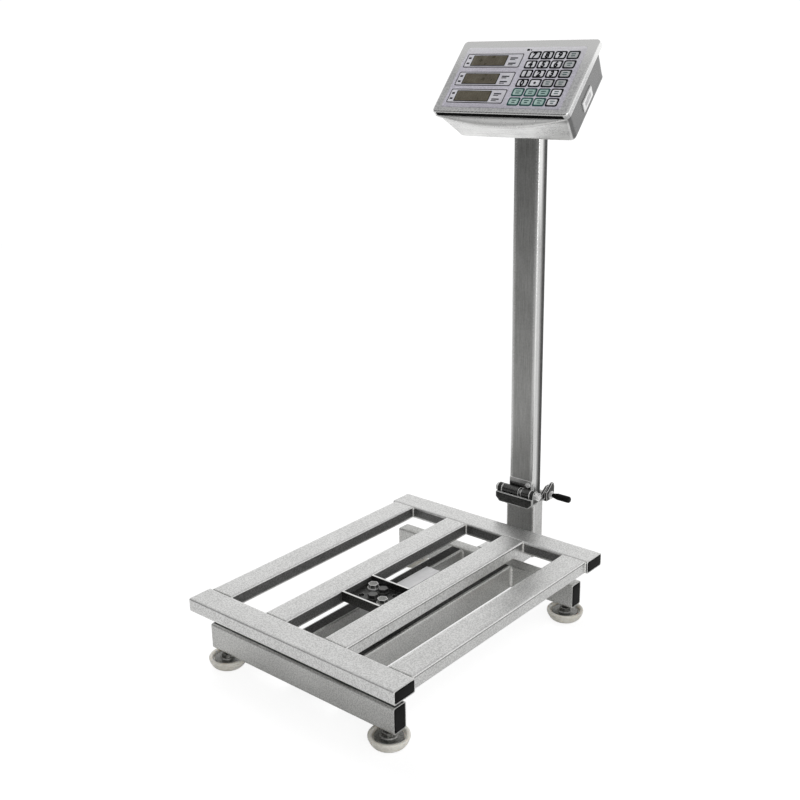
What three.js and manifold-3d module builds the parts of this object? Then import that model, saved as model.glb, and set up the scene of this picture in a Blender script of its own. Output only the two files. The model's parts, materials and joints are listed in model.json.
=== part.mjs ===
// Folding bench scale with a post-mounted indicator head.
// Millimetres, +Z up. X runs left to right, Y from the front edge to the back, Z = 0 is the floor.
// The object's bounding box is centred on the Z axis.
import * as THREE from 'three';
import { mergeVertices } from 'three/addons/utils/BufferGeometryUtils.js';
import { ConvexGeometry } from 'three/addons/geometries/ConvexGeometry.js';
import Module from 'manifold-3d';

const wasm = await Module();
wasm.setup();

// ---- Driving dimensions -------------------------------------------------------------------------
const GAP = 0.3;                 // clearance between pieces that touch
const totalDepth = 588;          // front edge of the platform to the back of the clamp ears

const OVER = 1;                  // how far a cutting solid reaches past the face it opens

const platform = { width: 380, depth: 480, top: 106, tubeWidth: 40, tubeHeight: 20, slats: 4, slatInset: 5 };
const base = { width: 342, front: 20, back: 455, tubeWidth: 24, tubeHeight: 38, bottom: 26, beamInner: 35 };
const tube = { wall: 1.5, corner: 2.5 };
const cap = { lip: 1.2, plug: 12, margin: 0.6, play: 1 };

const channel = { front: 148, back: 214, sheet: 3, web: 4, webBottom: 91 };
const channelBolt = { x: 20, y: 13, length: 9 };
const cell = {
  width: 26, length: 150, height: 40, front: 162, top: 87.7,
  bore: 13, boreSpan: 32, slotHalf: 4, boltPitch: 22, boltInset: 24, boltDepth: 16,
};
const bolt = { shank: 4, head: 7.5, headHeight: 5.5, washer: 8.5, washerThickness: 1.6 };
const cellBolt = { upper: 22, lower: 24 };
const spacer = { width: 60, length: 56, thickness: 2.7 };
const cellPlate = { thickness: 6, length: 54, pad: 4 };

// The rubber cup's section as [radius, height], from the middle of its sole to the middle of its recess.
const cupSection = [[0, 0], [20.5, 0], [23.5, 2.5], [26.7, 10], [27.5, 14], [26, 16], [22.5, 16], [21.5, 10],
  [0, 10]];
const foot = {
  inset: 20, seat: 10, disc: 19.5, discThickness: 3, boss: 9, bossRise: 2, hex: 9.5, stud: 5, studReach: 12,
};

const stub = { width: 54, depth: 28, top: 120, centre: 554, wall: 2 };
const arm = { width: 50 };
const post = { width: 46, depth: 23, wall: 1.5, bottom: 128.6, spare: 2 };

const hinge = { y: 533, z: 140, barrel: 8, bore: 4.4, barrelHalf: 26.6, knuckleOuter: 35, knuckleInner: 27 };
const pin = { radius: 4, head: 6.8, headHeight: 3.6, nut: 7.4, nutHeight: 6 };
const barrelSlot = { left: 5.5, right: 10.5, reach: 9, back: 5.5, floor: 4 };
const leaf = { halfWidth: 21, thickness: 1.8, top: 159 };
const leafBolt = { x: 16, z: 152.6, head: 4.4, headHeight: 3, shank: 2.4, hole: 2.8, reach: 10 };
const lower = {
  thickness: 4, halfWidth: 35, lip: 3, lipFront: 521, lipTop: 136, lipChamfer: 5, earFront: 566,
  earPlay: 0.1,
};
const upper = {
  thickness: 4, halfWidth: 30.6, cheek: 4, flangeBack: 566, cheekFront: 558, cheekBack: 586, webFront: 2,
};
// The upper edges of the ears and of the cheeks as [y, z], from the back to the front.
const earTop = [[588, 141], [586, 147], [581, 147], [571, 138], [566, 136]];
const cheekTop = [[586, 139], [582, 143], [574, 143], [558, 132]];
// The notch in each cheek, measured from the clamp screw.
const notch = { seat: 4.6, shoulder: 3.3, mouthFront: 6.5, mouthBack: 5.5 };
const clamp = {
  y: 576, z: 129, screw: 4, head: 6.5, headHeight: 5.5, collar: 7, collarWidth: 3, stem: 2.4, stemEnd: 67,
  gripStart: 40, gripNeck: 50, gripEnd: 73, gripSmall: 3.2, gripBig: 5.4, gripRound: 2, gripTip: 3.9,
};
const cable = { radius: 2.5, sides: 8, hole: 7, level: 45 };

const head = { width: 235, length: 129, tilt: 49.5, frontY: 463.4, frontZ: 743.5, skirt: 10, sheet: 1.5 };
const cover = { edge: 2.5, edgeDrop: 3, overhang: 1, faceRadius: 5, radius: 6, hollowFront: 0.5 };
const nose = { reach: 15, drop: 12, rootDrop: 5, steps: 8, under: 2, thickness: 4 };
const tray = {
  rimHalf: 115, rimFront: 1, rimBack: 118, chineHalf: 102, chineFront: 1.5, chineBack: 116, chineDepth: 57,
  floorHalf: 99, floorFront: 5, floorBack: 112, depth: 63, wall: 2, radius: 12,
};
const headPlate = { halfWidth: 34, halfLength: 30, thickness: 3 };
const windows = { height: 24.5, fronts: [15.5, 46.2, 78.8] };
const glass = { left: -85, width: 61, height: 15.5, inset: 4.5 };
const display = { side: 4, end: 2, thickness: 6 };
const board = { halfWidth: 104, front: 12, back: 114, thickness: 1.6 };
const battery = { left: -88, right: -37, front: 10, back: 107, height: 25 };
const keys = {
  left: 12, columns: 4, rows: 6, pitchX: 21.4, pitchY: 16.1, front: 12.8, width: 19, height: 13.4, rise: 0.5,
};
const overlay = { left: -103, right: 103, front: 8, back: 115, thickness: 0.5 };
const rocker = {
  along: 58, depth: 41, bodyHalf: 11.5, bodyHalfWidth: 6, bodyDepth: 13,
  bezelHalf: 15.5, bezelHalfWidth: 10.5, bezelRise: 2.2,
  pocketHalf: 9.5, pocketHalfWidth: 5, pocketDepth: 8, tilt: 6, paddleHalfWidth: 4.4, pivot: 2,
};
// The paddle's outline as [out of the wall, along the wall].
const paddleSection = [[-4, -7.6], [-4, 7.6], [1.2, -8.4], [1.2, 8.4], [2.8, 0]];
const socket = {
  x: 60, depth: 42, radius: 6, bore: 3, flange: 8, bodyFront: 101, boreFront: 109, wallFront: 118,
  back: 120.5,
};

// ---- Materials ----------------------------------------------------------------------------------
const makeMaterial = (color, roughness, metalness) =>
  new THREE.MeshStandardMaterial({ color, roughness, metalness });
const finish = {
  steel: () => makeMaterial(0xb9b9b6, 0.35, 1.0),
  darkSteel: () => makeMaterial(0x4a4a48, 0.4, 1.0),
  polished: () => makeMaterial(0xd4d4d2, 0.18, 1.0),
  aluminium: () => makeMaterial(0xc4c6c8, 0.4, 1.0),
  blackPlastic: () => makeMaterial(0x111111, 0.55, 0.0),
  paleRubber: () => makeMaterial(0xd9d6cc, 0.5, 0.0),
  overlay: () => makeMaterial(0xc9c6d4, 0.45, 0.0),
  glass: () => makeMaterial(0x5c5648, 0.15, 0.0),
  board: () => makeMaterial(0x1f5b33, 0.5, 0.0),
  greyPlastic: () => makeMaterial(0x3a3b3d, 0.5, 0.0),
};

// ---- Shape helpers ------------------------------------------------------------------------------
// A closed geometry with its shared vertices merged, as a manifold solid.
function toSolid(geometry) {
  const bare = geometry.index ? geometry.toNonIndexed() : geometry.clone();
  bare.deleteAttribute('normal');
  bare.deleteAttribute('uv');
  const merged = mergeVertices(bare, 1e-4);
  const mesh = new wasm.Mesh({
    numProp: 3,
    vertProperties: Float32Array.from(merged.attributes.position.array),
    triVerts: Uint32Array.from(merged.index.array),
  });
  return new wasm.Manifold(mesh);
}

function toGeometry(solid) {
  const mesh = solid.getMesh();
  const geometry = new THREE.BufferGeometry();
  geometry.setAttribute('position', new THREE.BufferAttribute(Float32Array.from(mesh.vertProperties), 3));
  geometry.setIndex(new THREE.BufferAttribute(Uint32Array.from(mesh.triVerts), 1));
  return geometry;
}

function block(x0, x1, y0, y1, z0, z1) {
  const geometry = new THREE.BoxGeometry(x1 - x0, y1 - y0, z1 - z0);
  return geometry.translate((x0 + x1) / 2, (y0 + y1) / 2, (z0 + z1) / 2);
}

// A cylinder along 'x', 'y' or 'z', from one coordinate to another on that axis.
function rod(axis, radius, from, to, centre, segments = 16, endRadius = radius) {
  const geometry = new THREE.CylinderGeometry(endRadius, radius, to - from, segments);
  if (axis === 'x') geometry.rotateZ(-Math.PI / 2);
  if (axis === 'z') geometry.rotateX(Math.PI / 2);
  const middle = (from + to) / 2;
  const [a, b] = centre;
  const place = { x: [middle, a, b], y: [a, middle, b], z: [a, b, middle] };
  return geometry.translate(...place[axis]);
}

function cut(whole, ...tools) {
  return toGeometry(tools.reduce((solid, tool) => solid.subtract(toSolid(tool)), toSolid(whole)));
}

function join(first, ...others) {
  return toGeometry(others.reduce((solid, piece) => solid.add(toSolid(piece)), toSolid(first)));
}

// A rectangle with round corners, centred on the origin.
function roundedRectangle(width, height, radius, outline = new THREE.Shape()) {
  const x = width / 2 - radius;
  const y = height / 2 - radius;
  outline.moveTo(-x, -height / 2);
  outline.lineTo(x, -height / 2);
  outline.absarc(x, -y, radius, -Math.PI / 2, 0, false);
  outline.lineTo(width / 2, y);
  outline.absarc(x, y, radius, 0, Math.PI / 2, false);
  outline.lineTo(-x, height / 2);
  outline.absarc(-x, y, radius, Math.PI / 2, Math.PI, false);
  outline.lineTo(-width / 2, -y);
  outline.absarc(-x, -y, radius, Math.PI, Math.PI * 1.5, false);
  return outline;
}

// A rectangular tube, open at both ends, centred on its own axis, which is Z.
function hollowBar(width, height, length, wall = tube.wall, corner = tube.corner) {
  const section = roundedRectangle(width, height, corner);
  const bore = roundedRectangle(width - 2 * wall, height - 2 * wall, corner - wall / 2, new THREE.Path());
  section.holes.push(bore);
  const bar = new THREE.ExtrudeGeometry(section, { depth: length, bevelEnabled: false, curveSegments: 2 });
  return bar.translate(0, 0, -length / 2);
}

// The same tube laid along X (width across Y) or along Y (width across X), between two coordinates.
function tubeAlongX(x0, x1, y, z, width, height, wall) {
  const bar = hollowBar(width, height, x1 - x0, wall);
  bar.rotateZ(Math.PI / 2);
  bar.rotateY(Math.PI / 2);
  return bar.translate((x0 + x1) / 2, y, z);
}

function tubeAlongY(y0, y1, x, z, width, height, wall) {
  const bar = hollowBar(width, height, y1 - y0, wall);
  bar.rotateX(Math.PI / 2);
  return bar.translate(x, (y0 + y1) / 2, z);
}

// A solid of revolution about Z whose profile is a list of [radius, height] that starts and ends on the axis.
function turned(profile, segments = 24) {
  const points = profile.map(([r, z]) => new THREE.Vector2(r, z));
  return new THREE.LatheGeometry(points, segments).rotateX(Math.PI / 2);
}

// ---- Assembly -----------------------------------------------------------------------------------
const scale = new THREE.Group();
scale.position.y = -totalDepth / 2;

// The head's own frame: origin at the middle of the face's front edge, Y up the face, Z out of the face.
const headFrame = new THREE.Group();
headFrame.position.set(0, head.frontY, head.frontZ);
headFrame.rotation.x = THREE.MathUtils.degToRad(head.tilt);
scale.add(headFrame);

function addPart(name, geometry, material, parent = scale) {
  const mesh = new THREE.Mesh(geometry, material);
  mesh.name = name;
  parent.add(mesh);
  return mesh;
}

// A black plastic plug: a face plate over the tube's end with a block that enters the bore.
function endCap(side, x, y, z, width, height) {
  const plateEdge = x + side * (GAP + cap.lip);
  const plate = block(Math.min(x + side * GAP, plateEdge), Math.max(x + side * GAP, plateEdge),
    y - width / 2 + cap.margin, y + width / 2 - cap.margin, z - height / 2 + cap.margin,
    z + height / 2 - cap.margin);
  const inner = x - side * cap.plug;
  const reach = 2 * tube.wall + 2 * GAP + cap.play;
  const plug = block(Math.min(inner, plateEdge), Math.max(inner, plateEdge),
    y - (width - reach) / 2, y + (width - reach) / 2, z - (height - reach) / 2, z + (height - reach) / 2);
  return join(plate, plug);
}

const sides = [['left', -1], ['right', 1]];
const tubeMiddle = platform.top - platform.tubeHeight / 2;
const slatWidth = platform.tubeWidth;
const slatPitch = (platform.width - 2 * platform.slatInset - slatWidth) / (platform.slats - 1);

function buildPlatform() {
  const capRoom = cap.lip + GAP;
  const half = platform.width / 2 - capRoom;
  const rows = [['front', platform.tubeWidth / 2], ['rear', platform.depth - platform.tubeWidth / 2]];
  for (const [row, y] of rows) {
    const bar = tubeAlongX(-half, half, y, tubeMiddle, platform.tubeWidth, platform.tubeHeight);
    addPart(`platform_${row}_tube`, bar, finish.steel());
    for (const [side, sign] of sides) {
      const plug = endCap(sign, sign * half, y, tubeMiddle, platform.tubeWidth, platform.tubeHeight);
      addPart(`platform_cap_${row}_${side}`, plug, finish.blackPlastic());
    }
  }
  for (let i = 0; i < platform.slats; i++) {
    const x = (i - (platform.slats - 1) / 2) * slatPitch;
    const slat = tubeAlongY(platform.tubeWidth + GAP, platform.depth - platform.tubeWidth - GAP, x,
      tubeMiddle,
      slatWidth, platform.tubeHeight);
    addPart(`platform_slat_${i + 1}`, slat, finish.steel());
  }
}

const baseMiddle = base.bottom + base.tubeHeight / 2;

function buildBase() {
  const half = base.width / 2 - cap.lip - GAP;
  const rows = [['front', base.front + base.tubeWidth / 2], ['rear', base.back - base.tubeWidth / 2]];
  for (const [row, y] of rows) {
    let bar = tubeAlongX(-half, half, y, baseMiddle, base.tubeWidth, base.tubeHeight);
    const holeTop = base.bottom + tube.wall + OVER;
    for (const [, sign] of sides) {
      bar = cut(bar, rod('z', foot.stud + GAP, base.bottom - OVER, holeTop,
        [sign * (base.width / 2 - foot.inset), y]));
    }
    if (row === 'rear') bar = cut(bar, rod('y', cable.hole, y - base.tubeWidth, y + base.tubeWidth,
      [0, cable.level]));
    addPart(`base_${row}_tube`, bar, finish.steel());
    for (const [side, sign] of sides) {
      const plug = endCap(sign, sign * half, y, baseMiddle, base.tubeWidth, base.tubeHeight);
      addPart(`base_cap_${row}_${side}`, plug, finish.blackPlastic());
      buildFoot(`${row}_${side}`, sign * (base.width / 2 - foot.inset), y);
    }
  }
  for (const [side, sign] of sides) {
    const x = sign * (base.beamInner + base.tubeWidth / 2);
    const beam = tubeAlongY(base.front + base.tubeWidth + GAP, base.back - base.tubeWidth - GAP, x,
      baseMiddle,
      base.tubeWidth, base.tubeHeight);
    addPart(`base_beam_${side}`, beam, finish.steel());
  }
}

// A levelling foot: a rubber cup with a recess, and a steel disc on a threaded stud that stands in it.
function buildFoot(place, x, y) {
  addPart(`foot_cup_${place}`, turned(cupSection).translate(x, y, 0), finish.paleRubber());
  const seat = foot.seat + GAP;
  const discTop = seat + foot.discThickness;
  const bossTop = discTop + foot.bossRise;
  const studTop = base.bottom + foot.studReach;
  const disc = turned([[0, seat], [foot.disc, seat], [foot.disc, discTop], [foot.boss, bossTop],
    [foot.stud, bossTop],
    [foot.stud, studTop], [0, studTop]]);
  const hexagon = rod('z', foot.hex, discTop + foot.bossRise / 2, base.bottom - 1, [0, 0], 6);
  addPart(`foot_stud_${place}`, join(disc, hexagon).translate(x, y, 0), finish.darkSteel());
}

// A hexagon bolt along Z with a washer under its head. The head stands above its seat when up is 1, and
// hangs below it when up is -1.
function hexBolt(x, y, seat, length, up) {
  const z = (distance) => seat + up * distance;
  const span = (a, b) => [Math.min(z(a), z(b)), Math.max(z(a), z(b))];
  const washer = rod('z', bolt.washer, ...span(GAP, GAP + bolt.washerThickness), [x, y]);
  const hexBottom = GAP + bolt.washerThickness / 2;
  const hex = rod('z', bolt.head, ...span(hexBottom, GAP + bolt.washerThickness + bolt.headHeight), [x, y],
    6);
  const shank = rod('z', bolt.shank, ...span(-length, hexBottom), [x, y]);
  return join(washer, hex, shank);
}

const cellFrontBolts = cell.front + cell.boltInset;
const cellBackBolts = cell.front + cell.length - cell.boltInset;

function buildLoadCell() {
  const inner = base.beamInner - GAP;
  const webTop = channel.webBottom + channel.web;
  const web = block(-inner, inner, channel.front, channel.back, channel.webBottom, webTop);
  const frontFlange = block(-inner, inner, channel.front, channel.front + channel.sheet, channel.webBottom,
    platform.top);
  const backFlange = block(-inner, inner, channel.back - channel.sheet, channel.back, channel.webBottom,
    platform.top);
  const corners = [[-1, 1], [1, -1], [-1, -1], [1, 1]];
  const hole = (x, y, from, to) => rod('z', bolt.shank + GAP, from - OVER, to + OVER, [x, y]);
  const cellHoles = (centre, from, to) => [-1, 1].map((sign) =>
    hole(0, centre + sign * cell.boltPitch / 2, from, to));
  const cornerHoles = (from, to) => corners.map(([sx, sy]) =>
    hole(sx * channelBolt.x, cellFrontBolts + sy * channelBolt.y, from, to));
  const drilled = (plate, from, to) => cut(plate, ...cellHoles(cellFrontBolts, from, to),
    ...cornerHoles(from, to));
  const folded = join(web, frontFlange, backFlange);
  addPart('load_cell_channel', drilled(folded, channel.webBottom, webTop), finish.darkSteel());

  const spacerTop = channel.webBottom - GAP;
  const spacerBottom = spacerTop - spacer.thickness;
  const adaptor = block(-spacer.width / 2, spacer.width / 2, cellFrontBolts - spacer.length / 2,
    cellFrontBolts + spacer.length / 2, spacerBottom, spacerTop);
  addPart('load_cell_spacer', drilled(adaptor, spacerBottom, spacerTop), finish.darkSteel());

  const cellBottom = cell.top - cell.height;
  const cellMiddle = cell.top - cell.height / 2;
  const centreY = cell.front + cell.length / 2;
  const halfX = cell.width / 2 + OVER;
  const halfSpan = cell.boreSpan / 2;
  const body = block(-cell.width / 2, cell.width / 2, cell.front, cell.front + cell.length, cellBottom,
    cell.top);
  const bores = [-1, 1].map((sign) => rod('x', cell.bore, -halfX, halfX,
    [centreY + sign * halfSpan, cellMiddle]));
  const slot = block(-halfX, halfX, centreY - halfSpan, centreY + halfSpan,
    cellMiddle - cell.slotHalf, cellMiddle + cell.slotHalf);
  const topHoles = cellHoles(cellFrontBolts, cell.top - cell.boltDepth + OVER, cell.top);
  const bottomHoles = cellHoles(cellBackBolts, cellBottom, cellBottom + cell.boltDepth - OVER);
  addPart('load_cell', cut(body, ...bores, slot, ...topHoles, ...bottomHoles), finish.aluminium());

  const padTop = cellBottom - GAP;
  const plateTop = padTop - cellPlate.pad;
  const plateBottom = plateTop - cellPlate.thickness;
  const plate = block(-inner, inner, cellBackBolts - cellPlate.length / 2,
    cellBackBolts + cellPlate.length / 2,
    plateBottom, plateTop);
  const pad = block(-cell.width / 2, cell.width / 2, cellBackBolts - cell.boltInset,
    cellBackBolts + cell.boltInset,
    plateTop - OVER, padTop);
  const basePlate = cut(join(plate, pad), ...cellHoles(cellBackBolts, plateBottom, padTop));
  addPart('load_cell_base_plate', basePlate, finish.steel());

  for (const [index, sign] of [-1, 1].entries()) {
    const along = sign * cell.boltPitch / 2;
    const upperBolt = hexBolt(0, cellFrontBolts + along, webTop, cellBolt.upper, 1);
    addPart(`cell_bolt_upper_${index + 1}`, upperBolt, finish.darkSteel());
    const lowerBolt = hexBolt(0, cellBackBolts + along, plateBottom, cellBolt.lower, -1);
    addPart(`cell_bolt_lower_${index + 1}`, lowerBolt, finish.polished());
    const cornerY = cellFrontBolts - sign * channelBolt.y;
    const cornerBolt = hexBolt(sign * channelBolt.x, cornerY, webTop, channelBolt.length, 1);
    addPart(`channel_bolt_${index + 1}`, cornerBolt, finish.polished());
  }
}

function buildPostBase() {
  const stubFront = stub.centre - stub.depth / 2;
  addPart('post_arm', tubeAlongY(base.back + GAP, stubFront - GAP, 0, baseMiddle, arm.width, base.tubeHeight),
    finish.steel());
  const height = stub.top - base.bottom;
  const column = hollowBar(stub.width, stub.depth, height, stub.wall).translate(0, stub.centre,
    base.bottom + height / 2);
  const entry = rod('y', cable.hole, stubFront - OVER, stub.centre, [0, cable.level]);
  addPart('post_stub', cut(column, entry), finish.steel());
}

// An upright plate across X with its outline given as [y, z] points, from x0 to x1.
function sidePlate(x0, x1, points) {
  const outline = new THREE.Shape(points.map(([y, z]) => new THREE.Vector2(y, z)));
  const plate = new THREE.ExtrudeGeometry(outline, { depth: x1 - x0, bevelEnabled: false });
  plate.rotateY(Math.PI / 2);
  plate.rotateX(Math.PI / 2);
  return plate.translate(x0, 0, 0);
}

const ordered = (a, b) => [Math.min(a, b), Math.max(a, b)];
const pinAxis = [hinge.y, hinge.z];
const clampAxis = [clamp.y, clamp.z];
const plateBottom = stub.top + GAP;
const plateTop = stub.top + lower.thickness;
const flangeBottom = plateTop + GAP;
const flangeTop = flangeBottom + upper.thickness;
const postFront = stub.centre - post.depth / 2;
const pinHole = () => rod('x', hinge.bore, -lower.halfWidth - OVER, lower.halfWidth + OVER, pinAxis);
const cableHole = (from, to) => rod('z', cable.hole, from - OVER, to + OVER, [0, stub.centre]);

function buildLowerBracket() {
  const screwHole = rod('x', clamp.screw + GAP, -lower.halfWidth - OVER, lower.halfWidth + OVER, clampAxis);
  const plate = block(-lower.halfWidth, lower.halfWidth, lower.lipFront, totalDepth, plateBottom, plateTop);
  const lip = block(-lower.halfWidth, lower.halfWidth, lower.lipFront, lower.lipFront + lower.lip,
    plateBottom, lower.lipTop);
  const pieces = [lip];
  const corners = [];
  for (const [, sign] of sides) {
    const knuckle = ordered(sign * hinge.knuckleInner, sign * hinge.knuckleOuter);
    pieces.push(rod('x', hinge.barrel, ...knuckle, pinAxis));
    pieces.push(block(...knuckle, hinge.y - hinge.barrel, hinge.y + hinge.barrel, plateBottom, hinge.z));
    const ear = ordered(sign * (upper.halfWidth + GAP + lower.earPlay), sign * lower.halfWidth);
    pieces.push(sidePlate(...ear, [[lower.earFront, plateBottom], [totalDepth, plateBottom], ...earTop]));
    const corner = block(-lower.lipChamfer, lower.lipChamfer, lower.lipFront - OVER, lower.earFront,
      -lower.lipChamfer, lower.lipChamfer);
    corners.push(corner.rotateY(Math.PI / 4).translate(sign * lower.halfWidth, 0, plateBottom));
  }
  const bracket = cut(join(plate, ...pieces), pinHole(), screwHole, cableHole(plateBottom, plateTop),
    ...corners);
  addPart('hinge_lower_bracket', bracket, finish.steel());
}

function buildUpperBracket() {
  const flange = block(-upper.halfWidth, upper.halfWidth, hinge.y + hinge.barrel + GAP, upper.flangeBack,
    flangeBottom, flangeTop);
  const web = block(-hinge.barrelHalf, hinge.barrelHalf, hinge.y - upper.webFront,
    hinge.y + hinge.barrel + OVER,
    flangeBottom, hinge.z - upper.webFront);
  const leafBack = postFront - GAP;
  const pieces = [
    rod('x', hinge.barrel, -hinge.barrelHalf, hinge.barrelHalf, pinAxis),
    web,
    block(-leaf.halfWidth, leaf.halfWidth, leafBack - leaf.thickness, leafBack, flangeBottom, leaf.top),
  ];
  const mouth = flangeBottom - OVER - clamp.z;
  const slot = [[-notch.mouthFront, mouth], [-notch.seat, 0], [-notch.shoulder, notch.shoulder],
    [0, notch.seat], [notch.shoulder, notch.shoulder], [notch.seat, 0], [notch.mouthBack, mouth]];
  const slotOutline = slot.map(([y, z]) => [clamp.y + y, clamp.z + z]);
  for (const [, sign] of sides) {
    const [x0, x1] = ordered(sign * (upper.halfWidth - upper.cheek), sign * upper.halfWidth);
    const cheek = sidePlate(x0, x1, [[upper.cheekFront, flangeBottom], [upper.cheekBack, flangeBottom],
      ...cheekTop]);
    pieces.push(cut(cheek, sidePlate(x0 - OVER, x1 + OVER, slotOutline)));
  }
  const barrelGap = block(barrelSlot.left, barrelSlot.right, hinge.y - barrelSlot.reach,
    hinge.y + barrelSlot.back,
    flangeBottom + barrelSlot.floor, hinge.z + barrelSlot.reach);
  const boltHole = rod('y', leafBolt.hole, postFront - hinge.barrel, postFront + OVER,
    [leafBolt.x, leafBolt.z]);
  const bracket = cut(join(flange, ...pieces), pinHole(), cableHole(flangeBottom, flangeTop), barrelGap,
    boltHole);
  addPart('hinge_upper_bracket', bracket, finish.steel());
}

function buildHingeFixings() {
  const end = hinge.knuckleOuter + GAP;
  const pinHead = rod('x', pin.head, -end - pin.headHeight, -end, pinAxis);
  const pinShank = rod('x', pin.radius, -end - OVER, end + pin.nutHeight + OVER, pinAxis);
  addPart('hinge_pin', join(pinShank, pinHead), finish.polished());
  const nut = rod('x', pin.nut, end, end + pin.nutHeight, pinAxis, 6);
  const nutBore = rod('x', pin.radius + GAP, end - OVER, end + pin.nutHeight + OVER, pinAxis);
  addPart('hinge_pin_nut', cut(nut, nutBore), finish.polished());

  const seat = postFront - leaf.thickness - 2 * GAP;
  const centre = [leafBolt.x, leafBolt.z];
  const boltHead = rod('y', leafBolt.head, seat - leafBolt.headHeight, seat, centre);
  const shank = rod('y', leafBolt.shank, seat - OVER, postFront + leafBolt.reach, centre);
  addPart('hinge_leaf_bolt', join(boltHead, shank), finish.polished());
}

function buildClamp() {
  const shoulder = lower.halfWidth + GAP;
  const collarEnd = shoulder + clamp.collarWidth;
  const screw = join(
    rod('x', clamp.screw, -shoulder - OVER, shoulder + OVER, clampAxis),
    rod('x', clamp.head, -shoulder - clamp.headHeight, -shoulder, clampAxis, 6),
    rod('x', clamp.collar, shoulder, collarEnd, clampAxis),
    rod('x', clamp.stem, collarEnd - OVER, clamp.stemEnd, clampAxis),
  );
  addPart('clamp_screw', screw, finish.polished());
  const roundStart = clamp.gripEnd - clamp.gripRound;
  const grip = join(
    rod('x', clamp.gripSmall, clamp.gripStart, clamp.gripNeck, clampAxis, 16, clamp.gripBig),
    rod('x', clamp.gripBig, clamp.gripNeck, roundStart, clampAxis),
    rod('x', clamp.gripBig, roundStart, clamp.gripEnd, clampAxis, 16, clamp.gripTip),
  );
  const stemHole = rod('x', clamp.stem + GAP, clamp.gripStart - OVER, clamp.stemEnd + OVER, clampAxis);
  addPart('clamp_grip', cut(grip, stemHole), finish.blackPlastic());
}

// Height of the tray's bottom plane, pushed out by an offset, above a point at depth y.
const tiltAngle = THREE.MathUtils.degToRad(head.tilt);
function trayPlane(offset, y) {
  const reach = (y - head.frontY - (tray.depth + offset) * Math.sin(tiltAngle)) / Math.cos(tiltAngle);
  return head.frontZ + reach * Math.sin(tiltAngle) - (tray.depth + offset) * Math.cos(tiltAngle);
}

// The post's foot stands on the hinge flange and its top is mitred to the slope of the head.
function buildPost() {
  const mitreOffset = headPlate.thickness + 2 * GAP;
  const height = trayPlane(mitreOffset, stub.centre + post.depth / 2) + post.spare - post.bottom;
  const column = hollowBar(post.width, post.depth, height, post.wall).translate(0, stub.centre,
    post.bottom + height / 2);
  const reach = 3 * post.depth;
  const mitre = block(-post.width, post.width, -reach, reach, 0, reach);
  mitre.rotateX(tiltAngle);
  mitre.translate(0, stub.centre, trayPlane(mitreOffset, stub.centre));
  const boltHole = rod('y', leafBolt.hole, postFront - OVER, stub.centre, [leafBolt.x, leafBolt.z]);
  addPart('post_tube', cut(column, mitre, boltHole), finish.steel());
}

// Points of a rounded rectangle in the head's frame at one depth, for a convex shell.
function ring(halfWidth, front, back, z, radius) {
  const outline = roundedRectangle(2 * halfWidth, back - front, radius).getPoints(4);
  return outline.map((p) => new THREE.Vector3(p.x, p.y + (front + back) / 2, z));
}

// Where the post's axis meets the tray's bottom, measured up the face.
const plateCentre = (stub.centre - head.frontY - tray.depth * Math.sin(tiltAngle)) / Math.cos(tiltAngle);

// The tray's side walls lean in towards its floor; the switch stands square to the right one.
const trayRim = head.skirt + GAP;
const wallSlope = Math.atan2(tray.rimHalf - tray.chineHalf, tray.chineDepth - trayRim);
const wallAtSwitch = tray.rimHalf - (rocker.depth - trayRim) * Math.tan(wallSlope);

function buildTray() {
  const { wall } = tray;
  const outer = new ConvexGeometry([
    ...ring(tray.rimHalf, tray.rimFront, tray.rimBack, -trayRim, tray.radius),
    ...ring(tray.chineHalf, tray.chineFront, tray.chineBack, -tray.chineDepth, tray.radius),
    ...ring(tray.floorHalf, tray.floorFront, tray.floorBack, -tray.depth, tray.radius),
  ]);
  const inner = new ConvexGeometry([
    ...ring(tray.rimHalf - wall, tray.rimFront + wall, tray.rimBack - wall, -head.skirt + OVER,
      tray.radius - wall),
    ...ring(tray.floorHalf - wall, tray.floorFront + wall, tray.floorBack - wall, -tray.depth + wall,
      tray.radius - wall),
  ]);
  const cableWay = rod('z', cable.hole, -tray.depth - OVER, -tray.depth + wall + OVER, [0, plateCentre]);
  const switchHole = block(-rocker.bodyDepth, 2 * wall, -rocker.bodyHalf - GAP, rocker.bodyHalf + GAP,
    -rocker.bodyHalfWidth - GAP, rocker.bodyHalfWidth + GAP);
  switchHole.rotateY(wallSlope).translate(wallAtSwitch, rocker.along, -rocker.depth);
  const socketHole = rod('y', socket.radius + GAP, socket.bodyFront, socket.back, [socket.x, -socket.depth]);
  addPart('head_tray', cut(outer, inner, cableWay, switchHole, socketHole), finish.steel(), headFrame);
}

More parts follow.
